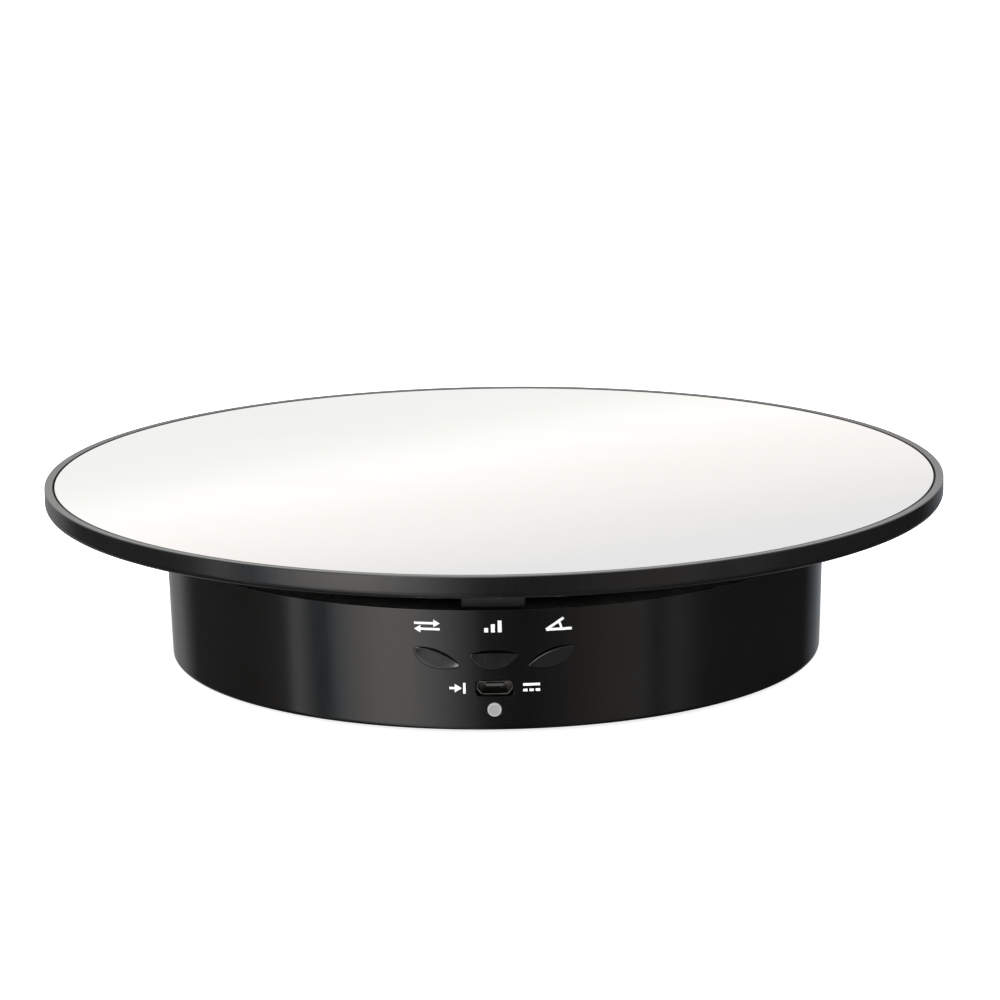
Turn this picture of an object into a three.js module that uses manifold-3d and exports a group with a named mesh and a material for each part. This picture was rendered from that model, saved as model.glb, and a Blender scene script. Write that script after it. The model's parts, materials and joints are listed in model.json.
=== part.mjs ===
// A motorised turntable display stand, in millimetres.
// +Z is up and the control panel faces -Y.
// The origin is on the platter's axis, level with the soles of the feet.
import * as THREE from 'three';
import { mergeVertices } from 'three/addons/utils/BufferGeometryUtils.js';
import Module from 'manifold-3d';

const wasm = await Module();
wasm.setup();

// ---------------------------------------------------------------- driving dimensions

const ROUND = 48; // facets round the large turned parts
const SMALL_ROUND = 16; // facets round screws, posts and holes

// Heights above the surface that the feet stand on.
const BASE_BOTTOM = 1.2;
const FLOOR_TOP = 3.4;
const DECK_BOTTOM = 24.2;
const DECK_TOP = 26.6;
const WALL_TOP = 27.3;
const RIM_BOTTOM = 36.05;
const WEB_BOTTOM = 36.55;
const WEB_TOP = 38.15;
const MIRROR_BOTTOM = 38.7;
const MIRROR_TOP = 40.7;
const LIP_INNER_TOP = 40.75;
const LIP_TOP = 40.85;

// Platter and mirror.
const PLATTER_R = 100;
const LIP_INNER_R = 98.2;
const MIRROR_R = 97.8;
const RIM_FILLET = 1.5;
const RIM_INNER_R = 94.5;
const RIB_COUNT = 12;
const RIB_THICKNESS = 1.2;
const TAPE_INNER_R = 10;
const TAPE_OUTER_R = 96;

// Base shell and top cover.
const BASE_R_BOTTOM = 72.7;
const BASE_R_TOP = 73.45;
const BASE_CORNER = 1.1;
const BASE_INNER_R = 70.3;
const LEDGE_R = 71.1;
const DECK_R = 70.8;
const POST_TOP = 16;
const CASE_POST_CIRCLE_R = 60;
const CASE_POST_ANGLES = [30, 150, 210, 330];
const LOWER_POST_R = 4.6;
const UPPER_POST_R = 4;
const UPPER_POST_BORE_TOP = 23.2;
const CASE_SCREW_WELL_R = 3.1;
const CASE_SCREW_WELL_TOP = 8;
const CASE_SCREW = { headR: 2.8, headHeight: 1.8, shankR: 1.4, shankLength: 14 };
const FOOT_CIRCLE_R = 60;
const FOOT_ANGLES = [45, 135, 225, 315];
const FOOT_R = 6;
const FOOT_TOP = 2;
const TAB = { width: 13.2, front: -70.4, back: -68.4, top: 30.5 };

// Ball race between the top cover and the platter.
const BALL_COUNT = 8;
const BALL_R = 2.97;
const BALL_CIRCLE_R = 56;
const BALL_Z = 31.2;
const GROOVE_R = 3.2;
const RACE_HALF_WIDTH = 3.5;
const LOWER_RACE_TOP = 29.4;
const UPPER_RACE_BOTTOM = 33;

// Platter hub on the top cover's centre post.
const HUB_R = 9;
const BUSH_OUTER_R = 6;
const BUSH_INNER_R = 4.3;
const CENTRE_POST_R = 4.2;
const CENTRE_POST_TOP = 36.4;
const CENTRE_SCREW = { headR: 2.6, headHeight: 1, shankR: 1.1, shankLength: 7.5 };
const CENTRE_SCREW_BORE_BOTTOM = 28.4;
const WASHER = { inner: 1.4, outer: 6.2, thickness: 0.5 };
const HUB_POCKET_FLOOR = 36.2;
const HUB_FLANGE_BOTTOM = 35.2;

// Gears: module in millimetres of pitch diameter per tooth.
const MODULE = 1.25;
const GEAR_TEETH = 48;
const PINION_TEETH = 12;
const SHAFT_Y = (MODULE * (GEAR_TEETH + PINION_TEETH)) / 2 + 0.1;
const GEAR_BOTTOM = 31.2;
const GEAR_TOP = 34.2;
const GEAR_SCREW_CIRCLE_R = 18;
const GEAR_SCREW_ANGLES = [30, 150, 270];
const GEAR_SCREW = { headR: 2.6, headHeight: 1.6, shankR: 1.2, shankLength: 5.8 };
const GEAR_BOSS_R = 4;
const PINION_HUB = { radius: 4.6, bottom: 28.4 };

// Geared stepper motor, whose shaft stands off the centre of its can.
const SHAFT_OFFSET = 8;
const MOTOR_Y = SHAFT_Y - SHAFT_OFFSET;
const MOTOR_R = 14;
const MOTOR_BOTTOM = 5.2;
const MOTOR_PLATE_BOTTOM = 23.4;
const MOTOR_EAR_X = 17.5;
const MOTOR_EAR_R = 3.5;
const MOTOR_COLLAR_R = 4.5;
const MOTOR_SCREW = { headR: 2.7, headHeight: 1.8, shankR: 1.45, shankLength: 2.7 };
const SHAFT_R = 2.5;
const SHAFT_BORE_BOTTOM = 20.3;
const SHAFT_FLATS_BOTTOM = 28.2;
const LEAD_BUNDLE_R = 1.5;
const SHAFT_TOP = 34.2;

// Control board, which stands behind the panel.
const BOARD_FRONT = -65;
const BOARD_BACK = -63.4;
const BOARD_HALF_WIDTH = 23;
const BOARD_BOTTOM = 3.7;
const BOARD_TOP = 22.7;
const BOARD_SCREW_PLACE = { x: 20, z: 8 };
const BOARD_SCREW = { headR: 2, headHeight: 1.4, shankR: 0.95, shankLength: 4.9 };
const BOARD_BOSS_FRONT = -68.8;

// Leaf buttons: each outline runs from its first tip to its second.
const SIDE_LEAF = { tip: [-16.5, 19.1], end: [-6.85, 15.1], crown: 1.45, belly: [0.4, -2.9, 6.1, -3.95] };
const MIDDLE_LEAF = { tip: [-5.1, 17.75], end: [5.1, 17.75], crown: 0.85, belly: [1.6, -4.6, 8.6, -4.6] };
const BUTTON_GAP = 0.25;
const CROWN_GAP = 0.5;
const BUTTON_FLANGE = 0.8;
const BUTTON_FACE_R = 72.85;
const BUTTON_FLANGE_R = 69.95;
const BUTTON_BACK = -67.5;
const PANEL_FRONT = -75;
const SWITCH_SIZE = 4.5;
const SWITCH_DEPTH = 1.8;
const PLUNGER_R = 1.2;

// Power inlet and indicator.
const INLET = { x: 0.1, z: 10.45, width: 7.6, height: 2.9, wall: 0.3 };
const INLET_FRONT = -72.45;
const TONGUE = { halfWidth: 1.9, top: 11.2, thickness: 0.6 };
const LIGHT = { z: 5.7, radius: 1.5, front: -72.6, back: -70.2 };

// ---------------------------------------------------------------- finishes

const FINISHES = {
  blackPlastic: { color: 0x141415, roughness: 0.22, metalness: 0 },
  buttonPlastic: { color: 0x2a282c, roughness: 0.4, metalness: 0 },
  mirrorGlass: { color: 0xf2f4f3, roughness: 0.02, metalness: 1 },
  foamTape: { color: 0xe4e2da, roughness: 0.9, metalness: 0 },
  whiteNylon: { color: 0xe9e7df, roughness: 0.5, metalness: 0 },
  brass: { color: 0xb8954f, roughness: 0.35, metalness: 1 },
  steel: { color: 0xb9bbbe, roughness: 0.3, metalness: 1 },
  rubber: { color: 0x1c1c1c, roughness: 0.9, metalness: 0 },
  blueCap: { color: 0x2c62b5, roughness: 0.45, metalness: 0 },
  boardGreen: { color: 0x1d5a36, roughness: 0.45, metalness: 0 },
  chipBlack: { color: 0x17181a, roughness: 0.5, metalness: 0 },
  leadRed: { color: 0xa8322b, roughness: 0.6, metalness: 0 },
  lightWindow: { color: 0xc9cbcb, roughness: 0.35, metalness: 0 },
};

// ---------------------------------------------------------------- helpers

const degrees = THREE.MathUtils.degToRad;

// A named mesh with a material of its own.
function piece(name, finish, geometry) {
  const mesh = new THREE.Mesh(geometry, new THREE.MeshStandardMaterial(FINISHES[finish]));
  mesh.name = name;
  return mesh;
}

// A closed three.js geometry as a manifold-3d solid.
function toSolid(geometry) {
  const bare = geometry.clone();
  bare.deleteAttribute('normal');
  bare.deleteAttribute('uv');
  const merged = mergeVertices(bare, 1e-4);
  const mesh = new wasm.Mesh({
    numProp: 3,
    vertProperties: new Float32Array(merged.attributes.position.array),
    triVerts: new Uint32Array(merged.index.array),
  });
  return new wasm.Manifold(mesh);
}

function toGeometry(solid) {
  const { vertProperties, triVerts } = solid.getMesh();
  const geometry = new THREE.BufferGeometry();
  geometry.setAttribute('position', new THREE.BufferAttribute(vertProperties, 3));
  geometry.setIndex(new THREE.BufferAttribute(triVerts, 1));
  return geometry;
}

function join(...geometries) {
  return toGeometry(geometries.map(toSolid).reduce((whole, next) => whole.add(next)));
}

function cut(body, ...tools) {
  return toGeometry(tools.map(toSolid).reduce((rest, tool) => rest.subtract(tool), toSolid(body)));
}

function common(first, second) {
  return toGeometry(toSolid(first).intersect(toSolid(second)));
}

// A profile of [radius, height] points, listed anticlockwise, turned about Z.
function turned(profile, facets = SMALL_ROUND) {
  const points = profile.map(([r, z]) => new THREE.Vector2(r, z));
  return new THREE.LatheGeometry(points, facets).rotateX(Math.PI / 2);
}

// A solid rod along Z.
function rod(radius, bottom, top, facets = SMALL_ROUND) {
  return turned([[0, bottom], [radius, bottom], [radius, top], [0, top]], facets);
}

// A ring or tube about Z.
function ring(inner, outer, bottom, top, facets = SMALL_ROUND) {
  return turned([[inner, bottom], [outer, bottom], [outer, top], [inner, top], [inner, bottom]], facets);
}

// A box between two opposite corners.
function block([x0, y0, z0], [x1, y1, z1]) {
  const box = new THREE.BoxGeometry(x1 - x0, y1 - y0, z1 - z0);
  return box.translate((x0 + x1) / 2, (y0 + y1) / 2, (z0 + z1) / 2);
}

// Points of a circular arc in a profile, from one angle to another in degrees.
function arc([r, z], radius, from, to, steps) {
  const points = [];
  for (let i = 0; i <= steps; i += 1) {
    const angle = degrees(from + ((to - from) * i) / steps);
    points.push([r + radius * Math.cos(angle), z + radius * Math.sin(angle)]);
  }
  return points;
}

// An outline in X and Z, extruded along Y between two depths.
function facing(outline, front, back, curveSegments = 8) {
  const options = { depth: back - front, bevelEnabled: false, curveSegments };
  return new THREE.ExtrudeGeometry(outline, options).rotateX(Math.PI / 2).translate(0, back, 0);
}

// A rod along Y at a place on the panel.
function rodAlongY(radius, front, back, x, z, facets = SMALL_ROUND) {
  return rod(radius, 0, back - front, facets).rotateX(Math.PI / 2).translate(x, back, z);
}

// Makes a geometry at each angle of a circle about Z.
function onCircle(radius, angles, make) {
  return angles.map((angle) => {
    const place = degrees(angle);
    return make().translate(radius * Math.cos(place), radius * Math.sin(place), 0);
  });
}

// Makes a geometry at x on each side of the middle.
function onBothSides(x, make) {
  return [-x, x].map((place) => make().translate(place, 0, 0));
}

// ---------------------------------------------------------------- fasteners

// A cross-headed screw whose head lies below z = 0 and whose shank points up.
function crossScrew({ headR, headHeight, shankR, shankLength }) {
  const screw = turned([
    [0, -headHeight],
    [headR * 0.75, -headHeight],
    [headR, -headHeight / 2],
    [headR, 0],
    [shankR, 0],
    [shankR, shankLength - shankR],
    [0, shankLength],
  ], 12);
  const long = headR * 0.6;
  const short = headR * 0.12;
  const slots = [[long, short], [short, long]].map(([x, y]) => {
    return block([-x, -y, -2 * headHeight], [x, y, -headHeight / 2]);
  });
  return cut(screw, ...slots);
}

// ---------------------------------------------------------------- platter

function platterRib(angle) {
  const side = RIB_THICKNESS / 2;
  const rib = block([BALL_CIRCLE_R + 4, -side, RIM_BOTTOM], [RIM_INNER_R + 0.5, side, WEB_BOTTOM + 0.3]);
  return rib.rotateZ(degrees(angle));
}

// A rod at each of the driven gear's screws.
function atGearScrews(radius, bottom, top) {
  return onCircle(GEAR_SCREW_CIRCLE_R, GEAR_SCREW_ANGLES, () => rod(radius, bottom, top, 12));
}

function platterBody() {
  const raceInner = BALL_CIRCLE_R - RACE_HALF_WIDTH;
  const raceOuter = BALL_CIRCLE_R + RACE_HALF_WIDTH;
  const grooveEdge = THREE.MathUtils.radToDeg(Math.asin((UPPER_RACE_BOTTOM - BALL_Z) / GROOVE_R));
  const boreR = BUSH_OUTER_R + 0.1;
  const disc = turned([
    [boreR, UPPER_RACE_BOTTOM],
    [HUB_R, UPPER_RACE_BOTTOM],
    [HUB_R, WEB_BOTTOM],
    [raceInner, WEB_BOTTOM],
    [raceInner, UPPER_RACE_BOTTOM],
    ...arc([BALL_CIRCLE_R, BALL_Z], GROOVE_R, 180 - grooveEdge, grooveEdge, 5),
    [raceOuter, UPPER_RACE_BOTTOM],
    [raceOuter, WEB_BOTTOM],
    [RIM_INNER_R, WEB_BOTTOM],
    [RIM_INNER_R + 0.8, RIM_BOTTOM],
    ...arc([PLATTER_R - RIM_FILLET, RIM_BOTTOM + RIM_FILLET], RIM_FILLET, -90, 0, 3),
    [PLATTER_R, LIP_TOP - 0.2],
    [PLATTER_R - 0.2, LIP_TOP],
    [LIP_INNER_R, LIP_INNER_TOP],
    [LIP_INNER_R, WEB_TOP],
    [BUSH_OUTER_R + 1.2, WEB_TOP],
    [BUSH_OUTER_R + 1.2, HUB_POCKET_FLOOR],
    [CENTRE_POST_R + 0.3, HUB_POCKET_FLOOR],
    [CENTRE_POST_R + 0.3, HUB_FLANGE_BOTTOM],
    [boreR, HUB_FLANGE_BOTTOM],
    [boreR, UPPER_RACE_BOTTOM],
  ], ROUND);
  const ribAngles = Array.from({ length: RIB_COUNT }, (_, i) => ((i + 0.5) * 360) / RIB_COUNT);
  const bosses = atGearScrews(GEAR_BOSS_R, GEAR_TOP, WEB_BOTTOM + 0.3);
  const screwHoles = atGearScrews(GEAR_SCREW.shankR + 0.15, GEAR_TOP - 1, WEB_TOP - 0.75);
  return cut(join(disc, ...bosses, ...ribAngles.map(platterRib)), ...screwHoles);
}

function mirrorDisc() {
  return turned([
    [0, MIRROR_BOTTOM],
    [MIRROR_R, MIRROR_BOTTOM],
    [MIRROR_R, MIRROR_TOP - 0.25],
    [MIRROR_R - 0.25, MIRROR_TOP],
    [0, MIRROR_TOP],
  ], ROUND);
}

// ---------------------------------------------------------------- gears

// The outline of an involute spur gear with short teeth, with a tooth centred on a given angle.
function gearOutline(teeth, firstToothAngle) {
  const pressure = degrees(20);
  const pitchR = (MODULE * teeth) / 2;
  const baseR = pitchR * Math.cos(pressure);
  const tipR = pitchR + 0.8 * MODULE;
  const rootR = pitchR - 1.1 * MODULE;
  const involute = (angle) => Math.tan(angle) - angle;
  const halfToothAtPitch = Math.PI / (2 * teeth) - 0.06 / pitchR;
  const halfToothAt = (r) => {
    const angle = r > baseR ? Math.acos(baseR / r) : 0;
    return halfToothAtPitch + involute(pressure) - involute(angle);
  };
  const flank = [rootR, pitchR, tipR];
  const outline = [];
  for (let tooth = 0; tooth < teeth; tooth += 1) {
    const centre = firstToothAngle + (tooth * 2 * Math.PI) / teeth;
    const rising = flank.map((r) => [r, centre - halfToothAt(r)]);
    const falling = [...flank].reverse().map((r) => [r, centre + halfToothAt(r)]);
    outline.push(...rising, ...falling);
  }
  return new THREE.Shape(outline.map(([r, a]) => new THREE.Vector2(r * Math.cos(a), r * Math.sin(a))));
}

// A toothed disc between two heights.
function gearDisc(teeth, firstToothAngle, bottom, top) {
  const options = { depth: top - bottom, bevelEnabled: false };
  return new THREE.ExtrudeGeometry(gearOutline(teeth, firstToothAngle), options).translate(0, 0, bottom);
}

function drivenGear() {
  const wheel = gearDisc(GEAR_TEETH, Math.PI / 2, GEAR_BOTTOM, GEAR_TOP);
  const bore = rod(HUB_R + 0.3, GEAR_BOTTOM - 1, GEAR_TOP + 1, 32);
  const screwHoles = atGearScrews(GEAR_SCREW.shankR + 0.3, GEAR_BOTTOM - 1, GEAR_TOP + 1);
  return cut(wheel, bore, ...screwHoles);
}

// The pinion, about its own axis. A gap between its teeth faces the driven gear.
function pinion() {
  const gapTowardsGear = -Math.PI / 2 + Math.PI / PINION_TEETH;
  const teeth = gearDisc(PINION_TEETH, gapTowardsGear, GEAR_BOTTOM - 0.2, GEAR_TOP + 0.4);
  const hub = rod(PINION_HUB.radius, PINION_HUB.bottom, GEAR_BOTTOM);
  return cut(join(teeth, hub), flattedRod(SHAFT_R + 0.1, 1.6, PINION_HUB.bottom - 1, SHAFT_TOP + 1));
}

// ---------------------------------------------------------------- motor

// A rod about Z with two flats.
function flattedRod(radius, halfWidth, bottom, top) {
  return common(rod(radius, bottom, top), block([-halfWidth, -radius, bottom], [halfWidth, radius, top]));
}

function motorShaft() {
  const round = rod(SHAFT_R, SHAFT_BORE_BOTTOM + 0.3, SHAFT_FLATS_BOTTOM);
  return join(round, flattedRod(SHAFT_R, 1.5, SHAFT_FLATS_BOTTOM - 0.5, SHAFT_TOP));
}

// The can, about its own axis, with the blind hole that the shaft runs in.
function motorCan() {
  const can = turned([
    [0, MOTOR_BOTTOM],
    [MOTOR_R - 1, MOTOR_BOTTOM],
    [MOTOR_R, MOTOR_BOTTOM + 1],
    [MOTOR_R, MOTOR_PLATE_BOTTOM],
    [0, MOTOR_PLATE_BOTTOM],
  ], 32);
  const bore = rod(SHAFT_R + 0.2, SHAFT_BORE_BOTTOM, MOTOR_PLATE_BOTTOM + 1);
  return cut(can, bore.translate(0, SHAFT_OFFSET, 0));
}

// The mounting plate, with an ear on each side and a collar round the shaft.
function motorPlate() {
  const [low, high] = [MOTOR_PLATE_BOTTOM, DECK_BOTTOM];
  const ears = onBothSides(MOTOR_EAR_X, () => rod(MOTOR_EAR_R, low, high));
  const bar = block([-MOTOR_EAR_X, -MOTOR_EAR_R, low], [MOTOR_EAR_X, MOTOR_EAR_R, high]);
  const face = rod(MOTOR_R, low, high, 32);
  const collar = rod(MOTOR_COLLAR_R, low, high + 1.5).translate(0, SHAFT_OFFSET, 0);
  const shaftHole = rod(SHAFT_R + 0.2, low - 1, high + 2).translate(0, SHAFT_OFFSET, 0);
  const earHoles = onBothSides(MOTOR_EAR_X, () => rod(MOTOR_SCREW.shankR + 0.3, low - 1, high + 1, 12));
  return cut(join(face, bar, ...ears, collar), shaftHole, ...earHoles);
}

// The plastic cap over the can's terminals, on the side away from the shaft.
function motorLeadCap() {
  const cap = block([-7.3, -17, 6.4], [7.3, -8, 22.4]);
  return cut(cap, rod(MOTOR_R + 0.3, MOTOR_BOTTOM, MOTOR_PLATE_BOTTOM, 32));
}

// The bundle of leads from the cap to the plug on the board.
function motorLeads() {
  const path = new THREE.CatmullRomCurve3([
    new THREE.Vector3(0, -51.9, 9),
    new THREE.Vector3(0.6, -45, 8.2),
    new THREE.Vector3(8, -32, 6),
    new THREE.Vector3(11, -16, 5.6),
    new THREE.Vector3(4.5, -1, 7.4),
    new THREE.Vector3(0.4, MOTOR_Y - 21, 10.8),
    new THREE.Vector3(0, MOTOR_Y - 17.4, 11),
  ]);
  const section = new THREE.Shape().absarc(0, 0, LEAD_BUNDLE_R, 0, 2 * Math.PI);
  return new THREE.ExtrudeGeometry(section, { steps: 22, curveSegments: 5, extrudePath: path });
}

// ---------------------------------------------------------------- ball race

function ballAngles() {
  return Array.from({ length: BALL_COUNT }, (_, i) => ((i + 0.5) * 360) / BALL_COUNT);
}

function ballCage() {
  const band = ring(BALL_CIRCLE_R - 4.6, BALL_CIRCLE_R + 4.6, BALL_Z - 1, BALL_Z + 1, ROUND);
  const pocket = () => rod(BALL_R + 0.2, BALL_Z - 2, BALL_Z + 2, 12);
  return cut(band, ...onCircle(BALL_CIRCLE_R, ballAngles(), pocket));
}

function steelBall(angle) {
  const place = degrees(angle);
  const ball = new THREE.SphereGeometry(BALL_R, 10, 6).rotateX(Math.PI / 2);
  return ball.translate(BALL_CIRCLE_R * Math.cos(place), BALL_CIRCLE_R * Math.sin(place), BALL_Z);
}

// ---------------------------------------------------------------- buttons

// A leaf between two tips, in X and Z: a shallow crown above and a deep belly below, each grown outwards.
// The belly is given by its two control points, as [along, up, along, up] from the first tip.
function leafOutline({ tip, end, crown, belly }, grow = 0, crownGrow = grow) {
  const [x, z] = tip;
  const along = new THREE.Vector2(end[0] - x, end[1] - z);
  const length = along.length();
  along.normalize();
  const point = (a, up) => [x + a * along.x - up * along.y, z + a * along.y + up * along.x];
  const [a1, up1, a2, up2] = belly;
  const first = point(-grow, 0);
  const last = point(length + grow, 0);
  const outline = new THREE.Shape();
  outline.moveTo(...first);
  outline.bezierCurveTo(...point(a1 - grow, up1 - grow), ...point(a2 + grow, up2 - grow), ...last);
  outline.quadraticCurveTo(...point(length / 2, 2 * (crown + crownGrow)), ...first);
  return outline;
}

function buttonHole(leaf) {
  return facing(leafOutline(leaf), PANEL_FRONT, BUTTON_BACK);
}

// The cap fills its hole with a running gap, wider along the crown.
// A flange behind the wall keeps it in.
function buttonCap(leaf) {
  const face = facing(leafOutline(leaf, -BUTTON_GAP, -CROWN_GAP), PANEL_FRONT, BUTTON_BACK);
  const flange = facing(leafOutline(leaf, BUTTON_FLANGE), PANEL_FRONT, BUTTON_BACK);
  const faceDrum = rod(BUTTON_FACE_R, 0, WALL_TOP, ROUND);
  const flangeDrum = rod(BUTTON_FLANGE_R, 0, WALL_TOP, ROUND);
  return join(common(face, faceDrum), common(flange, flangeDrum));
}

// A tact switch on the board, bored for its plunger.
function switchBody(x, z) {
  const half = SWITCH_SIZE / 2;
  const front = BOARD_FRONT - SWITCH_DEPTH;
  const body = block([x - half, front, z - half], [x + half, BOARD_FRONT, z + half]);
  return cut(body, rodAlongY(PLUNGER_R + 0.15, front - 1, BOARD_FRONT - 0.4, x, z));
}

// The plunger meets the cap's back and moves with it.
function switchPlunger(x, z) {
  return rodAlongY(PLUNGER_R, BUTTON_BACK, BOARD_FRONT - 1.2, x, z);
}

// ---------------------------------------------------------------- inlet and light

// The inlet's section: wide and flat on top, with its lower corners cut off.
function inletOutline(inset) {
  const halfWidth = INLET.width / 2 - inset;
  const top = INLET.height / 2 - inset;
  const corner = 0.9 - inset * 0.4;
  return new THREE.Shape([
    new THREE.Vector2(INLET.x - halfWidth + corner, INLET.z - top),
    new THREE.Vector2(INLET.x + halfWidth - corner, INLET.z - top),
    new THREE.Vector2(INLET.x + halfWidth, INLET.z - top + corner),
    new THREE.Vector2(INLET.x + halfWidth, INLET.z + top),
    new THREE.Vector2(INLET.x - halfWidth, INLET.z + top),
    new THREE.Vector2(INLET.x - halfWidth, INLET.z - top + corner),
  ]);
}

function inletShell() {
  const outside = facing(inletOutline(0), INLET_FRONT, BOARD_FRONT);
  return cut(outside, facing(inletOutline(INLET.wall), INLET_FRONT - 1, BOARD_FRONT - 0.6));
}

function inletTongue() {
  const low = [INLET.x - TONGUE.halfWidth, INLET_FRONT + 0.6, TONGUE.top - TONGUE.thickness];
  return block(low, [INLET.x + TONGUE.halfWidth, BOARD_FRONT - 0.6, TONGUE.top]);
}

function inletHole() {
  const [halfWidth, halfHeight] = [INLET.width / 2 + 0.3, INLET.height / 2 + 0.3];
  const low = [INLET.x - halfWidth, PANEL_FRONT, INLET.z - halfHeight];
  return block(low, [INLET.x + halfWidth, BOARD_FRONT - 1, INLET.z + halfHeight]);
}

// A round lamp with a flange against the board.
function indicatorLed() {
  const lamp = rodAlongY(LIGHT.radius, LIGHT.back + 0.2, BOARD_FRONT, 0, LIGHT.z);
  return join(lamp, rodAlongY(LIGHT.radius + 0.4, BOARD_FRONT - 1, BOARD_FRONT, 0, LIGHT.z));
}

function lightWindow() {
  return rodAlongY(LIGHT.radius, LIGHT.front, LIGHT.back, 0, LIGHT.z);
}

// ---------------------------------------------------------------- base

// A rod at each of the case screws.
function atCaseScrews(radius, bottom, top, facets) {
  return onCircle(CASE_POST_CIRCLE_R, CASE_POST_ANGLES, () => rod(radius, bottom, top, facets));
}

// A rod along Y at each of the board screws.
function atBoardScrews(radius, front, back, facets) {
  const { x, z } = BOARD_SCREW_PLACE;
  return onBothSides(x, () => rodAlongY(radius, front, back, 0, z, facets));
}

function baseShell() {
  const shell = turned([
    [0, BASE_BOTTOM],
    ...arc([BASE_R_BOTTOM - BASE_CORNER, BASE_BOTTOM + BASE_CORNER], BASE_CORNER, -90, 0, 3),
    [BASE_R_TOP - 0.03, WALL_TOP - 0.35],
    [BASE_R_TOP - 0.35, WALL_TOP],
    [LEDGE_R, WALL_TOP],
    [LEDGE_R, DECK_BOTTOM],
    [BASE_INNER_R, DECK_BOTTOM],
    [BASE_INNER_R, FLOOR_TOP],
    [0, FLOOR_TOP],
  ], ROUND);
  const casePosts = atCaseScrews(LOWER_POST_R, FLOOR_TOP - 1, POST_TOP);
  const boardBosses = atBoardScrews(2.5, BOARD_BOSS_FRONT, BOARD_FRONT);
  const footRecesses = onCircle(FOOT_CIRCLE_R, FOOT_ANGLES, () => rod(FOOT_R + 0.3, 0, FOOT_TOP));
  return cut(
    join(shell, ...casePosts, ...boardBosses),
    ...atCaseScrews(CASE_SCREW.shankR + 0.3, 0, POST_TOP + 1, 12),
    ...atCaseScrews(CASE_SCREW_WELL_R, 0, CASE_SCREW_WELL_TOP),
    ...atBoardScrews(BOARD_SCREW.shankR + 0.1, BOARD_BOSS_FRONT + 0.2, BOARD_BACK, 12),
    ...footRecesses,
    ...allLeaves().map(buttonHole),
    inletHole(),
    rodAlongY(LIGHT.radius + 0.12, PANEL_FRONT, BOARD_FRONT - 1, 0, LIGHT.z),
  );
}

function topCover() {
  const raceInner = BALL_CIRCLE_R - RACE_HALF_WIDTH;
  const raceOuter = BALL_CIRCLE_R + RACE_HALF_WIDTH;
  const grooveEdge = THREE.MathUtils.radToDeg(Math.asin((BALL_Z - LOWER_RACE_TOP) / GROOVE_R));
  const cover = turned([
    [0, DECK_BOTTOM],
    [DECK_R, DECK_BOTTOM],
    [DECK_R, DECK_TOP],
    [raceOuter, DECK_TOP],
    [raceOuter, LOWER_RACE_TOP],
    ...arc([BALL_CIRCLE_R, BALL_Z], GROOVE_R, -grooveEdge, grooveEdge - 180, 5),
    [raceInner, LOWER_RACE_TOP],
    [raceInner, DECK_TOP],
    [CENTRE_POST_R + 1.5, DECK_TOP],
    [CENTRE_POST_R, DECK_TOP + 1.5],
    [CENTRE_POST_R, CENTRE_POST_TOP],
    [0, CENTRE_POST_TOP],
  ], ROUND);
  const tab = block([-TAB.width / 2, TAB.front, DECK_TOP - 0.5], [TAB.width / 2, TAB.back, TAB.top]);
  const motorHole = () => rod(MOTOR_SCREW.shankR + 0.15, DECK_BOTTOM - 1, DECK_TOP + 1, 12);
  return cut(
    join(cover, tab, ...atCaseScrews(UPPER_POST_R, POST_TOP, DECK_BOTTOM + 0.5)),
    ...atCaseScrews(CASE_SCREW.shankR + 0.1, POST_TOP - 1, UPPER_POST_BORE_TOP, 12),
    ...onBothSides(MOTOR_EAR_X, motorHole).map((hole) => hole.translate(0, MOTOR_Y, 0)),
    rod(MOTOR_COLLAR_R + 0.3, DECK_BOTTOM - 1, DECK_TOP + 1).translate(0, SHAFT_Y, 0),
    rod(CENTRE_SCREW.shankR + 0.1, CENTRE_SCREW_BORE_BOTTOM, CENTRE_POST_TOP + 1, 12),
  );
}

function rubberFoot() {
  return turned([[0, 0], [FOOT_R - 0.8, 0], [FOOT_R, 0.8], [FOOT_R, FOOT_TOP], [0, FOOT_TOP]], 20);
}

// ---------------------------------------------------------------- control board

function controlBoard() {
  const low = [-BOARD_HALF_WIDTH, BOARD_FRONT, BOARD_BOTTOM];
  const board = block(low, [BOARD_HALF_WIDTH, BOARD_BACK, BOARD_TOP]);
  return cut(board, ...atBoardScrews(BOARD_SCREW.shankR + 0.25, BOARD_FRONT - 1, BOARD_BACK + 1, 12));
}

// The board's lead socket, open towards the plug.
function leadSocket() {
  const outside = block([-7.4, BOARD_BACK, 6.1], [7.4, -56.4, 11.9]);
  return cut(outside, block([-6.5, -61.4, 6.9], [6.5, -55, 11.1]));
}

function leadPlug() {
  return block([-6.2, -61.1, 7.2], [6.2, -52.2, 10.8]);
}

// ---------------------------------------------------------------- assembly

function mirrored(leaf) {
  // The mirror image runs from its lower tip, so the belly's control points change ends.
  const length = Math.hypot(leaf.end[0] - leaf.tip[0], leaf.end[1] - leaf.tip[1]);
  const [a1, d1, a2, d2] = leaf.belly;
  return {
    tip: [-leaf.end[0], leaf.end[1]],
    end: [-leaf.tip[0], leaf.tip[1]],
    crown: leaf.crown,
    belly: [length - a2, d2, length - a1, d1],
  };
}

function allLeaves() {
  return [SIDE_LEAF, MIDDLE_LEAF, mirrored(SIDE_LEAF)];
}

const turntable = new THREE.Group();

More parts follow.
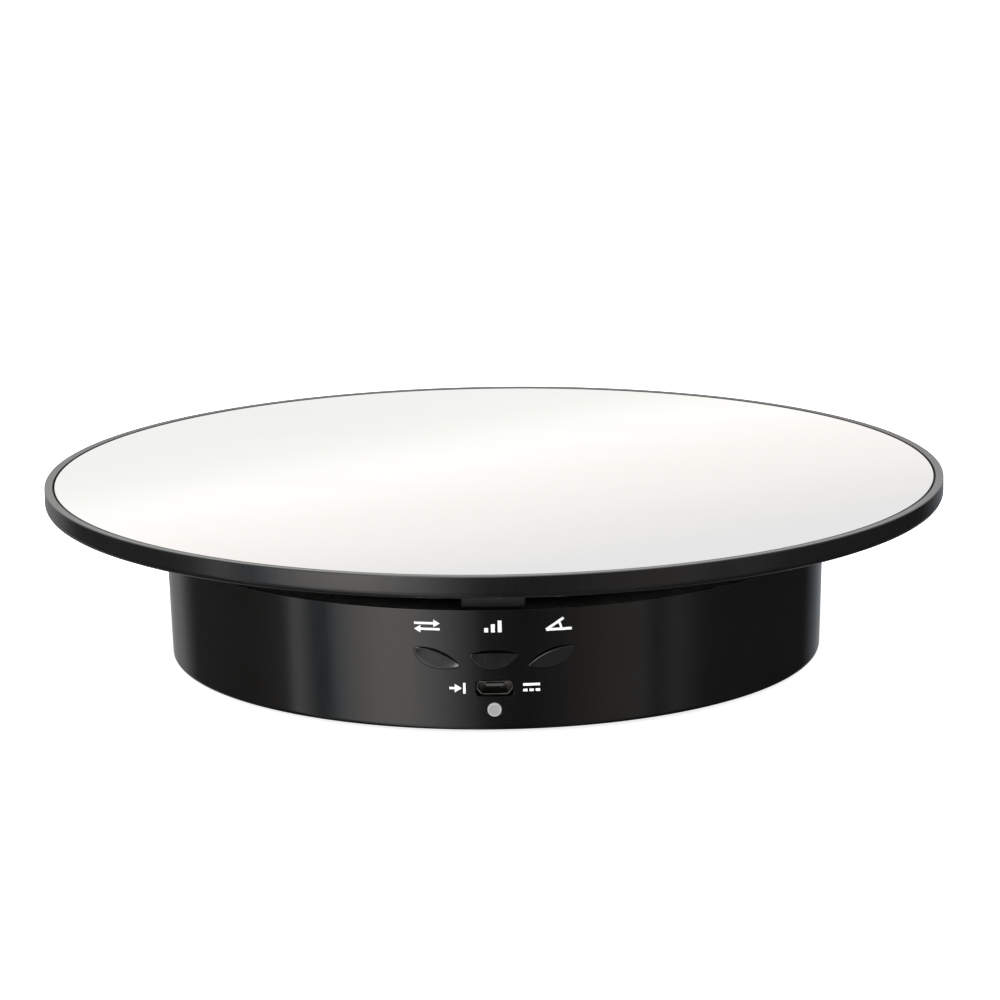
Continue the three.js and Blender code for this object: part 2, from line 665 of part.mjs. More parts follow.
// The turning disc.
const platterGroup = new THREE.Group();
turntable.add(platterGroup);
platterGroup.add(piece('platter', 'blackPlastic', platterBody()));
platterGroup.add(piece('mirror_disc', 'mirrorGlass', mirrorDisc()));
const tape = ring(TAPE_INNER_R, TAPE_OUTER_R, WEB_TOP, MIRROR_BOTTOM, ROUND);
platterGroup.add(piece('mirror_tape', 'foamTape', tape));
platterGroup.add(piece('driven_gear', 'whiteNylon', drivenGear()));
const bush = ring(BUSH_INNER_R, BUSH_OUTER_R, UPPER_RACE_BOTTOM, HUB_FLANGE_BOTTOM, 24);
platterGroup.add(piece('hub_bush', 'brass', bush));
onCircle(GEAR_SCREW_CIRCLE_R, GEAR_SCREW_ANGLES, () => crossScrew(GEAR_SCREW)).forEach((screw, i) => {
  platterGroup.add(piece(`gear_screw_${i + 1}`, 'steel', screw.translate(0, 0, GEAR_BOTTOM)));
});

// The ball race.
const raceGroup = new THREE.Group();
turntable.add(raceGroup);
raceGroup.add(piece('ball_cage', 'whiteNylon', ballCage()));
ballAngles().forEach((angle, i) => {
  raceGroup.add(piece(`ball_${i + 1}`, 'steel', steelBall(angle)));
});

// The motor, about the axis of its can, and the drive, about the axis of its shaft.
const motorGroup = new THREE.Group();
motorGroup.position.set(0, MOTOR_Y, 0);
turntable.add(motorGroup);
motorGroup.add(piece('motor_can', 'steel', motorCan()));
motorGroup.add(piece('motor_plate', 'steel', motorPlate()));
motorGroup.add(piece('motor_lead_cap', 'blueCap', motorLeadCap()));
[-1, 1].forEach((side, i) => {
  const screw = piece(`motor_screw_${i + 1}`, 'steel', crossScrew(MOTOR_SCREW));
  screw.position.set(side * MOTOR_EAR_X, 0, MOTOR_PLATE_BOTTOM);
  motorGroup.add(screw);
});
const driveGroup = new THREE.Group();
driveGroup.position.set(0, SHAFT_Y, 0);
turntable.add(driveGroup);
driveGroup.add(piece('motor_shaft', 'steel', motorShaft()));
driveGroup.add(piece('pinion', 'whiteNylon', pinion()));

// The buttons and the switches behind them.
['left', 'centre', 'right'].forEach((name, i) => {
  const leaf = allLeaves()[i];
  const x = (leaf.tip[0] + leaf.end[0]) / 2;
  const z = (leaf.tip[1] + leaf.end[1]) / 2 - 0.9;
  turntable.add(piece(`button_${name}`, 'buttonPlastic', buttonCap(leaf)));
  turntable.add(piece(`plunger_${name}`, 'chipBlack', switchPlunger(x, z)));
  turntable.add(piece(`switch_${name}`, 'steel', switchBody(x, z)));
});

// The base and its cover.
turntable.add(piece('base_shell', 'blackPlastic', baseShell()));
turntable.add(piece('top_cover', 'blackPlastic', topCover()));
onCircle(FOOT_CIRCLE_R, FOOT_ANGLES, rubberFoot).forEach((foot, i) => {
  turntable.add(piece(`foot_${i + 1}`, 'rubber', foot));
});
onCircle(CASE_POST_CIRCLE_R, CASE_POST_ANGLES, () => crossScrew(CASE_SCREW)).forEach((screw, i) => {
  turntable.add(piece(`case_screw_${i + 1}`, 'steel', screw.translate(0, 0, CASE_SCREW_WELL_TOP)));
});
const washerTop = CENTRE_POST_TOP + WASHER.thickness;
const washer = ring(WASHER.inner, WASHER.outer, CENTRE_POST_TOP, washerTop);
turntable.add(piece('centre_washer', 'steel', washer));
const centreScrew = piece('centre_screw', 'steel', crossScrew(CENTRE_SCREW));
centreScrew.rotation.x = Math.PI;
centreScrew.position.z = washerTop;
turntable.add(centreScrew);

// The control board and what it carries.
turntable.add(piece('control_board', 'boardGreen', controlBoard()));
const { x: boardScrewX, z: boardScrewZ } = BOARD_SCREW_PLACE;
onBothSides(boardScrewX, () => crossScrew(BOARD_SCREW).rotateX(Math.PI / 2)).forEach((screw, i) => {
  turntable.add(piece(`board_screw_${i + 1}`, 'steel', screw.translate(0, BOARD_BACK, boardScrewZ)));
});
const driverChip = block([6, BOARD_BACK, 14], [16, BOARD_BACK + 1.6, 18]);
const controlChip = block([-5, BOARD_BACK, 14.5], [0, BOARD_BACK + 1.5, 18.5]);
const capacitor = rodAlongY(3.1, BOARD_BACK, BOARD_BACK + 7, -12.5, 16.5);
turntable.add(piece('driver_chip', 'chipBlack', driverChip));
turntable.add(piece('control_chip', 'chipBlack', controlChip));
turntable.add(piece('capacitor', 'blueCap', capacitor));
turntable.add(piece('lead_socket', 'whiteNylon', leadSocket()));
turntable.add(piece('lead_plug', 'whiteNylon', leadPlug()));
turntable.add(piece('motor_leads', 'leadRed', motorLeads()));
turntable.add(piece('inlet_shell', 'steel', inletShell()));
turntable.add(piece('inlet_tongue', 'chipBlack', inletTongue()));
turntable.add(piece('indicator_led', 'lightWindow', indicatorLed()));
turntable.add(piece('light_window', 'lightWindow', lightWindow()));

export default turntable;
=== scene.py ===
import json
import math

import bmesh
import bpy
from mathutils import Matrix, Vector


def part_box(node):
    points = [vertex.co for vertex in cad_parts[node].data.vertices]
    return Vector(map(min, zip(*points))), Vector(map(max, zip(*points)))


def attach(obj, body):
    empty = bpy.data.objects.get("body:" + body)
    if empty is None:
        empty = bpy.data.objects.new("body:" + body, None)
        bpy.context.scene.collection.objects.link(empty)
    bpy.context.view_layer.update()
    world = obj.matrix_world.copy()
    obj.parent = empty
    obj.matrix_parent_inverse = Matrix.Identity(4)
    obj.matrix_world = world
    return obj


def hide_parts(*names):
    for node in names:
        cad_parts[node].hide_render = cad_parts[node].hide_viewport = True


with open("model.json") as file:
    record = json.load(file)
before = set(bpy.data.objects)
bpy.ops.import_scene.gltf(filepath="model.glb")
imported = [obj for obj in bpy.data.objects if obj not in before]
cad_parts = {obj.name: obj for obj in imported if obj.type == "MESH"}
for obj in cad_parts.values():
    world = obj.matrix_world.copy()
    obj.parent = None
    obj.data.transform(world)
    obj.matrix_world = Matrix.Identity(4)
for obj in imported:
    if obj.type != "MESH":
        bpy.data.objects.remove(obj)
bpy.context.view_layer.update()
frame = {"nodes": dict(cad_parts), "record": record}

# ---------------------------------------------------------------- sizes, in millimetres
# Heights are above the surface that the feet stand on. The panel faces -Y.

MM = 0.001
FINE = 256  # facets round the large turned pieces


def span(node):
    """A CAD node's lowest and highest corner, in millimetres."""
    low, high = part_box(node)
    return low / MM, high / MM


PLATTER_LOW, PLATTER_HIGH = span("platter")
MIRROR_LOW, MIRROR_HIGH = span("mirror_disc")
SHELL_LOW, SHELL_HIGH = span("base_shell")
CAGE_LOW, CAGE_HIGH = span("ball_cage")
COVER_HIGH = span("top_cover")[1]

PLATTER_R = PLATTER_HIGH.x
LIP_TOP = PLATTER_HIGH.z
RACE_BOTTOM = PLATTER_LOW.z
LIP_INNER_TOP = 40.75
RIM_BOTTOM = 36.05
WEB_BOTTOM = 36.55
WEB_TOP = span("mirror_tape")[0].z
LIP_INNER_R = MIRROR_HIGH.x + 0.4
RIM_INNER_R = 94.5
RIB_COUNT = 12
HUB_R = 9.0
HUB_BORE_R = 6.1
HUB_POCKET_R = 7.2
HUB_POCKET_DEPTH = 1.95
HUB_THROAT_R = 4.5
HUB_THROAT_DEPTH = 2.95

BASE_BOTTOM = SHELL_LOW.z
WALL_TOP = SHELL_HIGH.z
BASE_R_TOP = SHELL_HIGH.x
BASE_R_BOTTOM = BASE_R_TOP - 0.75
BASE_CORNER = 1.1
BASE_INNER_R = 70.3
LEDGE_R = 71.1
FLOOR_TOP = 3.4
DECK_R = COVER_HIGH.x
DECK_BOTTOM = 24.2
DECK_TOP = 26.6
FOOT_TOP = 2.0
FOOT_ANGLES = (45, 135, 225, 315)
SCREW_ANGLES = (30, 150, 210, 330)
FOOT_CIRCLE_R = 60.0  # the case screws are on it too
SCREW_WELL_R = 3.1
SCREW_WELL_TOP = 8
SHAFT_HOLE_R = 4.8

BALL_R = 2.97
BALL_CIRCLE_R = 56.0
BALL_Z = (CAGE_LOW.z + CAGE_HIGH.z) / 2
GROOVE_R = 3.2
RACE_HALF_WIDTH = 3.5
RACE_INNER_R = BALL_CIRCLE_R - RACE_HALF_WIDTH
RACE_OUTER_R = BALL_CIRCLE_R + RACE_HALF_WIDTH
CAGE_HALF_WIDTH = 4.6
LOWER_RACE_TOP = 29.4
CENTRE_POST_R = 4.2
CENTRE_POST_TOP = COVER_HIGH.z
SHAFT_Y = sum(corner.y for corner in span("motor_shaft")) / 2

# A leaf's outline: its tips as (x, z), the height of its crown, and its belly's two control points,
# measured along the leaf from its first tip and across it.
SIDE_LEAF = {"tip": (-16.5, 19.1), "end": (-6.85, 15.1), "crown": 1.45, "belly": (0.4, -2.9, 6.1, -3.95)}
MIDDLE_LEAF = {"tip": (-5.1, 17.75), "end": (5.1, 17.75), "crown": 0.85, "belly": (1.6, -4.6, 8.6, -4.6)}
LEAF_STEPS = 28
LIGHT_Z = 5.7
LIGHT_R = 1.5
LIGHT_FACE_R = 1.15
INLET_X = 0.1
INLET_Z = 10.45


def wall_radius(z):
    """Outer radius of the base's drafted wall at a height."""
    low = BASE_BOTTOM + BASE_CORNER
    return BASE_R_BOTTOM + (BASE_R_TOP - BASE_R_BOTTOM) * (z - low) / (WALL_TOP - low)


def on_wall(x, z, outward=0.0):
    """The point of the front wall at x and z, moved outwards along Y."""
    return Vector((x, -math.sqrt(wall_radius(z) ** 2 - x * x) - outward, z))


def around(radius, degrees):
    """The point (x, y) at a radius and at an angle from +X."""
    angle = math.radians(degrees)
    return radius * math.cos(angle), radius * math.sin(angle)


# ---------------------------------------------------------------- camera, floor and light


def tone(value):
    """Linear light for a screen value from 0 to 255."""
    share = value / 255
    return share / 12.92 if share <= 0.04045 else ((share + 0.055) / 1.055) ** 2.4


def make_camera():
    """A long lens, a little above the disc, turned slightly to the right and rolled."""
    elevation = math.radians(12.55)
    orbit = math.radians(0.36)
    roll = math.radians(-0.80)
    distance = 881.0
    forward = Vector((0, math.cos(elevation), -math.sin(elevation)))
    level = Vector((1, 0, 0))
    upward = level.cross(forward)
    right = math.cos(roll) * level + math.sin(roll) * upward
    up = -math.sin(roll) * level + math.cos(roll) * upward
    target = Vector((1.28, 0, 34.15))
    place = Matrix((right, up, -forward)).transposed().to_4x4()
    place.translation = (target - distance * forward) * MM
    data = bpy.data.cameras.new("camera")
    data.lens = 141.6
    data.sensor_width = 36
    data.clip_start = 0.01
    data.clip_end = 50
    camera = bpy.data.objects.new("camera", data)
    bpy.context.scene.collection.objects.link(camera)
    camera.matrix_world = Matrix.Rotation(orbit, 4, "Z") @ place
    bpy.context.scene.camera = camera


def area_light(name, place, target, size, power):
    data = bpy.data.lights.new(name, "AREA")
    data.shape = "RECTANGLE"
    data.size, data.size_y = size
    data.energy = power
    light = bpy.data.objects.new(name, data)
    bpy.context.scene.collection.objects.link(light)
    light.location = place
    light.rotation_euler = (Vector(target) - Vector(place)).to_track_quat("-Z", "Y").to_euler()


# The dark side of the studio, below the horizon, by the bearing from -Y towards +X in degrees:
# the brightness, and how warm it is.
STUDIO_BANDS = (
    (-180, 0.45, 0), (-166, 0.40, 0), (-158, 0.33, 0), (-146, 0.37, 0), (-138, 0.20, 0), (-131, 0.08, 0),
    (-94, 0.14, 1), (-82, 0.22, 1), (-77.5, 0.32, 0), (-74.5, 1.12, 0), (-71.5, 1.05, 0), (-66, 0.40, -1),
    (-61, 0.28, -1.5), (-57, 0.95, -1), (-50, 1.5, 0.5), (-40, 1.95, 1), (-30, 1.95, 0.6), (-20, 1.35, 0),
    (-9, 0.62, 0), (-4, 0.20, 0), (10, 0.10, 0.5), (23, 0.19, 1), (40, 0.36, 2), (53, 0.43, 0.6),
    (57, 0.18, 0), (66, 0.36, 0.6), (78, 0.12, 0), (105, 0.07, 1), (140, 0.03, 0), (150, 0.15, -1),
    (161, 0.30, -1), (180, 0.42, 0),
)
WARMTH_STEP = 0.06
# The bands fade towards straight down, between these heights of the direction.
FADE_START, FADE_END, FADE_LEVEL = -0.35, -1.0, 0.32
# A low white panel adds to the bands around one bearing, in radians. It fades out between a half width
# and a larger one, and between the first height and the second it rises to its full share.
PANEL_BEARING, PANEL_HALF_WIDTH, PANEL_FADED_WIDTH, PANEL_GAIN = -0.72, 0.40, 0.56, 0.6
PANEL_BOTTOM, PANEL_FULL = -0.275, -0.25

# The white side of the studio, above the horizon: a soft white fold between greyer ones.
# Each stop is a height, followed by the screen tone that the mirror shows there.
STUDIO_FOLDS = (
    (0.1888, 240, 240, 238), (0.1945, 243, 243, 239), (0.1982, 249, 248, 244), (0.2013, 254, 253, 250),
    (0.2063, 254, 253, 250), (0.2118, 250, 246, 243), (0.2195, 244, 240, 237), (0.2275, 236, 234, 232),
    (0.2350, 228, 228, 228),
)
FOLD_LOW, FOLD_HIGH = 0.186, 0.246
FOLD_SLANT = 0.16
MIRROR_SHARE = 0.945  # of the light that falls on it, which the mirror gives back
HORIZON_LOW, HORIZON_HIGH = -0.10, -0.03


MIX_INPUTS, MIX_RESULT = (0, 6, 7), 2  # a Mix node's sockets when it mixes colours


def feed(tree, socket, value):
    """Links another node's output to an input, or sets the input's value."""
    if isinstance(value, bpy.types.NodeSocket):
        tree.links.new(value, socket)
    else:
        socket.default_value = value


def add_node(tree, kind, **inputs):
    node = tree.nodes.new(kind)
    for name, value in inputs.items():
        feed(tree, node.inputs[name.replace("_", " ")], value)
    return node


def maths(tree, operation, *values):
    node = tree.nodes.new("ShaderNodeMath")
    node.operation = operation
    for socket, value in zip(node.inputs, values):
        feed(tree, socket, value)
    return node.outputs[0]


def map_range(tree, value, start, end, low=0.0, high=1.0):
    """Maps a value between start and end onto the range low to high."""
    ends = {"From_Min": start, "From_Max": end, "To_Min": low, "To_Max": high}
    return add_node(tree, "ShaderNodeMapRange", Value=value, **ends).outputs[0]


def mix_colours(tree, share, first, second):
    """Mixes two colours, each a value or another node's output, by a share."""
    node = tree.nodes.new("ShaderNodeMix")
    node.data_type = "RGBA"
    for socket, value in zip(MIX_INPUTS, (share, first, second)):
        feed(tree, node.inputs[socket], value)
    return node.outputs[MIX_RESULT]


def fill_ramp(ramp, stops):
    """Sets a colour ramp's stops from (position, colour) pairs."""
    elements = ramp.elements
    while len(elements) < len(stops):
        elements.new(0.5)
    for element, (position, _) in zip(elements, stops):
        element.position = position
    for element, (_, colour) in zip(elements, stops):
        element.color = (*colour, 1)


def dark_side(tree, bearing, height):
    """The colour below the horizon: upright bands that fade towards straight down, and the low panel."""
    share = map_range(tree, bearing, -math.pi, math.pi)
    bands = add_node(tree, "ShaderNodeValToRGB", Fac=share)
    brightest = max(level for _, level, _ in STUDIO_BANDS)
    fill_ramp(bands.color_ramp, [
        ((angle + 180) / 360, [level / brightest * (1 + WARMTH_STEP * warmth * side) for side in (1, 0, -1)])
        for angle, level, warmth in STUDIO_BANDS
    ])
    fade = map_range(tree, height, FADE_END, FADE_START, FADE_LEVEL)
    off_panel = maths(tree, "ABSOLUTE", maths(tree, "SUBTRACT", bearing, PANEL_BEARING))
    panel_side = map_range(tree, off_panel, PANEL_HALF_WIDTH, PANEL_FADED_WIDTH, PANEL_GAIN, 0)
    panel = maths(tree, "MULTIPLY", panel_side, map_range(tree, height, PANEL_BOTTOM, PANEL_FULL))
    level = maths(tree, "MULTIPLY", maths(tree, "MULTIPLY", fade, brightest), maths(tree, "ADD", panel, 1))
    scaled = tree.nodes.new("ShaderNodeVectorMath")
    scaled.operation = "SCALE"
    tree.links.new(bands.outputs["Color"], scaled.inputs[0])
    tree.links.new(level, scaled.inputs["Scale"])
    return scaled.outputs[0]


def white_side(tree, across, height):
    """The colour above the horizon: slanted folds, as the mirror shows them."""
    slanted = maths(tree, "ADD", height, maths(tree, "MULTIPLY", across, FOLD_SLANT))
    folds = add_node(tree, "ShaderNodeValToRGB", Fac=map_range(tree, slanted, FOLD_LOW, FOLD_HIGH))
    fill_ramp(folds.color_ramp, [
        ((level - FOLD_LOW) / (FOLD_HIGH - FOLD_LOW), [tone(v) / MIRROR_SHARE for v in colour])
        for level, *colour in STUDIO_FOLDS
    ])
    return folds.outputs["Color"]


def make_world():
    world = bpy.data.worlds.new("studio")
    bpy.context.scene.world = world
    world.use_nodes = True
    tree = world.node_tree
    tree.nodes.clear()
    direction = add_node(tree, "ShaderNodeTexCoord").outputs["Generated"]
    x, y, z = add_node(tree, "ShaderNodeSeparateXYZ", Vector=direction).outputs
    bearing = maths(tree, "ARCTAN2", x, maths(tree, "MULTIPLY", y, -1))
    above = map_range(tree, z, HORIZON_LOW, HORIZON_HIGH)
    colour = mix_colours(tree, above, dark_side(tree, bearing, z), white_side(tree, x, z))
    background = add_node(tree, "ShaderNodeBackground", Color=colour)
    add_node(tree, "ShaderNodeOutputWorld", Surface=background.outputs[0])


# ---------------------------------------------------------------- materials


class Finish:
    """A procedural material, built up a step at a time around one Principled shader."""

    NOISE_LOW, NOISE_HIGH = 0.35, 0.65  # where most of a noise's values lie

    def __init__(self, name, colour, roughness, metallic=0.0, **sockets):
        self.material = bpy.data.materials.new(name)
        self.material.use_nodes = True
        self.tree = self.material.node_tree
        self.shader = self.tree.nodes["Principled BSDF"]
        self.colour = colour
        self.shader.inputs["Base Color"].default_value = (*colour, 1)
        self.shader.inputs["Roughness"].default_value = roughness
        self.shader.inputs["Metallic"].default_value = metallic
        for socket, value in sockets.items():
            self.shader.inputs[socket.replace("_", " ")].default_value = value
        self.place = self.tree.nodes.new("ShaderNodeTexCoord").outputs["Object"]
        self.relief = None

    def noise(self, size, detail=3.0, stretch=(1, 1, 1)):
        """Noise whose features are about this many millimetres across."""
        mapping = self.tree.nodes.new("ShaderNodeMapping")
        mapping.inputs["Scale"].default_value = tuple(s / (size * MM) for s in stretch)
        self.tree.links.new(self.place, mapping.inputs["Vector"])
        texture = self.tree.nodes.new("ShaderNodeTexNoise")
        texture.inputs["Scale"].default_value = 1.0
        texture.inputs["Detail"].default_value = detail
        self.tree.links.new(mapping.outputs[0], texture.inputs["Vector"])
        return texture.outputs["Fac"]

    def spread(self, noise, low, high):
        """Spreads a noise over the range low to high."""
        return map_range(self.tree, noise, self.NOISE_LOW, self.NOISE_HIGH, low, high)

    def tint(self, source, other):
        """Mixes the base colour with another by a value."""
        mixed = mix_colours(self.tree, source, (*self.colour, 1), (*other, 1))
        self.tree.links.new(mixed, self.shader.inputs["Base Color"])

    def rough(self, source):
        self.tree.links.new(source, self.shader.inputs["Roughness"])

    def bump(self, source, depth):
        """Adds relief of this depth in millimetres, on top of any that is there."""
        node = add_node(self.tree, "ShaderNodeBump", Height=source, Distance=depth * MM, Strength=1.0)
        if self.relief is not None:
            self.tree.links.new(self.relief, node.inputs["Normal"])
        self.relief = node.outputs["Normal"]
        self.tree.links.new(self.relief, self.shader.inputs["Normal"])


def grey(shade):
    return shade, shade, shade


def gloss_black(name, shade, roughness, spread, **sockets):
    """Deep black moulded ABS: faint flow ripple, a fine orange peel and hairline wear in the gloss."""
    finish = Finish(name, grey(shade), roughness, IOR=1.5, **sockets)
    finish.tint(finish.spread(finish.noise(14, 4), 0, 1), (shade * 1.5, shade * 1.45, shade * 1.6))
    hairlines = finish.noise(0.6, 6, (1, 1, 0.08))
    finish.rough(finish.spread(hairlines, roughness - spread, roughness + spread))
    finish.bump(finish.noise(1.6, 2), 0.0012)
    finish.bump(finish.noise(0.25, 3), 0.0004)
    return finish.material


def moulded(name, colour, other, roughness, grain=0.3, depth=0.004, **sockets):
    """Matt or satin moulded plastic or rubber with a fine spark-eroded grain."""
    finish = Finish(name, colour, roughness, **sockets)
    finish.tint(finish.spread(finish.noise(5, 4), 0, 1), other)
    finish.rough(finish.spread(finish.noise(1.1, 5), roughness - 0.07, roughness + 0.07))
    finish.bump(finish.noise(grain, 4), depth)
    return finish.material


def metal(name, colour, other, roughness, stretch=(1, 1, 1), grain=0.2):
    """Bare or plated metal with brushing along one direction."""
    finish = Finish(name, colour, roughness, 1.0)
    finish.tint(finish.spread(finish.noise(2.5, 4), 0, 1), other)
    finish.rough(finish.spread(finish.noise(grain, 4, stretch), roughness - 0.08, roughness + 0.1))
    finish.bump(finish.noise(grain, 3, stretch), 0.0012)
    return finish.material


def mirror_glass():
    """Silvered glass with a trace of haze and cloth wipes."""
    finish = Finish("mirror_silver", grey(0.95), 0.02, 1.0)
    finish.tint(finish.spread(finish.noise(60, 3, (0.5, 1.6, 1)), 0, 1), (0.938, 0.94, 0.938))
    finish.rough(finish.spread(finish.noise(22, 6, (0.4, 2.0, 1)), 0.015, 0.04))
    finish.bump(finish.noise(45, 1), 0.0006)
    return finish.material


def printed_ink():
    finish = Finish("white_ink", (0.86, 0.86, 0.85), 0.55)
    finish.tint(finish.spread(finish.noise(0.25, 4), 0, 1), (0.72, 0.72, 0.71))
    finish.bump(finish.noise(0.12, 3), 0.003)
    return finish.material


def milky_acrylic(name, shade):
    """Milky acrylic: pale, slightly deep and smooth."""
    finish = Finish(name, (shade, shade * 1.01, shade * 1.01), 0.3, IOR=1.49)
    finish.tint(finish.spread(finish.noise(0.5, 3), 0, 1), (shade * 0.88, shade * 0.89, shade * 0.9))
    finish.bump(finish.noise(0.4, 2), 0.002)
    return finish.material


def circuit_board():
    """Green solder mask over copper tracks."""
    finish = Finish("solder_mask", (0.012, 0.10, 0.035), 0.35)
    bricks = finish.tree.nodes.new("ShaderNodeTexBrick")
    bricks.inputs["Scale"].default_value = 1 / (4 * MM)
    bricks.inputs["Mortar Size"].default_value = 0.05
    turn = finish.tree.nodes.new("ShaderNodeMapping")
    turn.inputs["Rotation"].default_value = (math.radians(90), 0, 0)
    finish.tree.links.new(finish.place, turn.inputs[0])
    finish.tree.links.new(turn.outputs[0], bricks.inputs["Vector"])
    finish.tint(bricks.outputs["Fac"], (0.03, 0.2, 0.07))
    finish.bump(bricks.outputs["Fac"], 0.03)
    return finish.material


def pale_floor():
    """A white sweep that is lit from within, so that shadows on it stay faint."""
    glow = {"Emission_Color": (1, 1, 1, 1), "Emission_Strength": 0.82}
    finish = Finish("pale_floor", grey(0.93), 0.7, **glow)
    finish.tint(finish.spread(finish.noise(300, 2), 0, 1), (0.91, 0.91, 0.915))
    return finish.material


def make_finishes():
    return {
        "black_plastic": gloss_black("gloss_black_abs", 0.0014, 0.13, 0.025),
        "platter_plastic": gloss_black("semi_gloss_black_abs", 0.0022, 0.2, 0.03),
        "cover_plastic": gloss_black("cover_black_abs", 0.001, 0.45, 0.03, Specular_IOR_Level=0.15),
        # Painted light: the tab's black is lighter than the cover's, standing in for light that the
        # platter's shade keeps off it.
        "tab_lightened_plastic": moulded("tab_black_abs_painted_light", grey(0.009), grey(0.012), 0.5, 0.2, 0.002),
        "button_plastic": gloss_black("button_black_abs", 0.0042, 0.2, 0.03),
        # Partly painted highlight: the tongue's grey nylon is made light enough that its front edge shows as
        # a bright line under the front light.
        "tongue_plastic": moulded("tongue_nylon_painted_highlight", grey(0.035), grey(0.05), 0.4, 0.2, 0.003),
        "mirror_glass": mirror_glass(),
        "glass_edge": moulded("glass_edge", (0.03, 0.04, 0.037), (0.05, 0.065, 0.06), 0.3, 0.4, 0.01),
        "foam_tape": moulded("foam_tape", (0.62, 0.61, 0.56), (0.5, 0.49, 0.45), 0.9, 0.5, 0.03),
        "white_nylon": moulded("white_nylon", (0.62, 0.60, 0.54), (0.55, 0.53, 0.47), 0.5),
        "brass": metal("turned_brass", (0.78, 0.57, 0.28), (0.66, 0.46, 0.2), 0.28, (1, 1, 14)),
        "steel": metal("zinc_plated_steel", (0.62, 0.63, 0.64), (0.5, 0.51, 0.53), 0.3),
        # Painted shade: the inlet's nickel is darkened to stand for the shade inside its recessed mouth.
        "inlet_steel": metal(
            "inlet_nickel_painted_shade", (0.20, 0.195, 0.185), (0.13, 0.128, 0.122), 0.26, (1, 12, 1), 0.15,
        ),
        "gold": metal("gold_flash", (0.83, 0.6, 0.27), (0.72, 0.5, 0.2), 0.22),
        "chip_black": moulded("epoxy_black", (0.012, 0.012, 0.013), (0.02, 0.02, 0.02), 0.55, 0.12, 0.004),
        "switch_cover": metal("switch_sheet", grey(0.66), grey(0.55), 0.32, (1, 1, 10)),
        "rubber": moulded("foot_rubber", (0.014, 0.014, 0.015), (0.024, 0.023, 0.023), 0.85, 0.35, 0.012),
        "blue_plastic": moulded("blue_plastic", (0.02, 0.10, 0.36), (0.03, 0.13, 0.42), 0.42),
        "board_green": circuit_board(),
        "lead_sheath": moulded("lead_sheath", (0.34, 0.03, 0.02), (0.28, 0.025, 0.02), 0.5, 0.8, 0.01),
        "light_window": milky_acrylic("lamp_acrylic", 0.27),
        # Painted highlight: a lighter copy of the same acrylic for the pipe's rounded rim.
        "lamp_rim_highlight": milky_acrylic("lamp_rim_painted_highlight", 0.44),
        "ink": printed_ink(),
    }


# ---------------------------------------------------------------- mesh tools, in millimetres


def smooth(mesh, sharp_angle=35):
    """Shades a mesh smooth, except across edges that turn by more than this many degrees."""
    mesh.polygons.foreach_set("use_smooth", [True] * len(mesh.polygons))
    mesh.set_sharp_from_angle(angle=math.radians(sharp_angle))


def add_piece(name, mesh, body, finish, sharp_angle=35):
    """Puts a finished mesh into the scene, riding on a body."""
    obj = bpy.data.objects.new(name, mesh)
    bpy.context.scene.collection.objects.link(obj)
    mesh.materials.append(FINISHES[finish])
    smooth(mesh, sharp_angle)
    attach(obj, body)
    return obj


def weighted(obj):
    """Keeps large faces flat-looking beside small rounded edges."""
    modifier = obj.modifiers.new("weighted", "WEIGHTED_NORMAL")
    modifier.keep_sharp = True
    modifier.weight = 100


def finish_mesh(name, bm, weld=True):
    """Turns a bmesh in millimetres into a mesh in metres, with its faces outwards."""
    if weld:
        bmesh.ops.remove_doubles(bm, verts=bm.verts, dist=1e-5)
    bmesh.ops.recalc_face_normals(bm, faces=bm.faces)
    bmesh.ops.scale(bm, vec=(MM, MM, MM), verts=bm.verts)
    mesh = bpy.data.meshes.new(name)
    bm.to_mesh(mesh)
    bm.free()
    return mesh


def rounded(corners, steps=4, closed=False):
    """A profile through [r, z, fillet] corners, each fillet an arc."""
    count = len(corners)
    profile = []
    for i, (r, z, fillet) in enumerate(corners):
        ends = not closed and i in (0, count - 1)
        if not fillet or ends:
            profile.append((r, z))
            continue
        here = Vector((r, z))
        before = (Vector(corners[i - 1][:2]) - here).normalized()
        after = (Vector(corners[(i + 1) % count][:2]) - here).normalized()
        half = before.angle(after) / 2
        reach = fillet / math.tan(half)
        middle = here + (before + after).normalized() * (fillet / math.sin(half))
        start = here + before * reach - middle
        sweep = (here + after * reach - middle).angle_signed(start)
        for step in range(steps + 1):
            turn = Matrix.Rotation(sweep * step / steps, 2)
            profile.append(tuple(middle + turn @ start))
    return profile


def lathe(bm, profile, facets=FINE, closed=False, centre=(0, 0)):
    """Turns a profile of (r, z) points about a vertical axis."""
    angles = [2 * math.pi * i / facets for i in range(facets)]
    rings = []
    for r, z in profile:
        if r < 1e-6:
            rings.append([bm.verts.new((*centre, z))])
            continue
        points = [(centre[0] + r * math.cos(a), centre[1] + r * math.sin(a), z) for a in angles]
        rings.append([bm.verts.new(point) for point in points])
    pairs = list(zip(rings, rings[1:]))
    if closed:
        pairs.append((rings[-1], rings[0]))
    for lower, upper in pairs:
        join_rings(bm, lower, upper)


def join_rings(bm, first, second):
    """Quads between two closed rings of points, or triangles where one is a single point."""
    count = max(len(first), len(second))
    for i in range(count):
        j = (i + 1) % count
        near = [first[i % len(first)], first[j % len(first)]]
        far = [second[j % len(second)], second[i % len(second)]]
        unique = list(dict.fromkeys(near + far))
        if len(unique) > 2:
            bm.faces.new(unique)


def loft(bm, loops):
    """Joins closed loops of points in order, with the end loops filled."""
    rings = [[bm.verts.new(p) for p in loop] for loop in loops]
    for first, second in zip(rings, rings[1:]):
        join_rings(bm, first, second)
    bm.faces.new(rings[0])
    bm.faces.new(rings[-1])


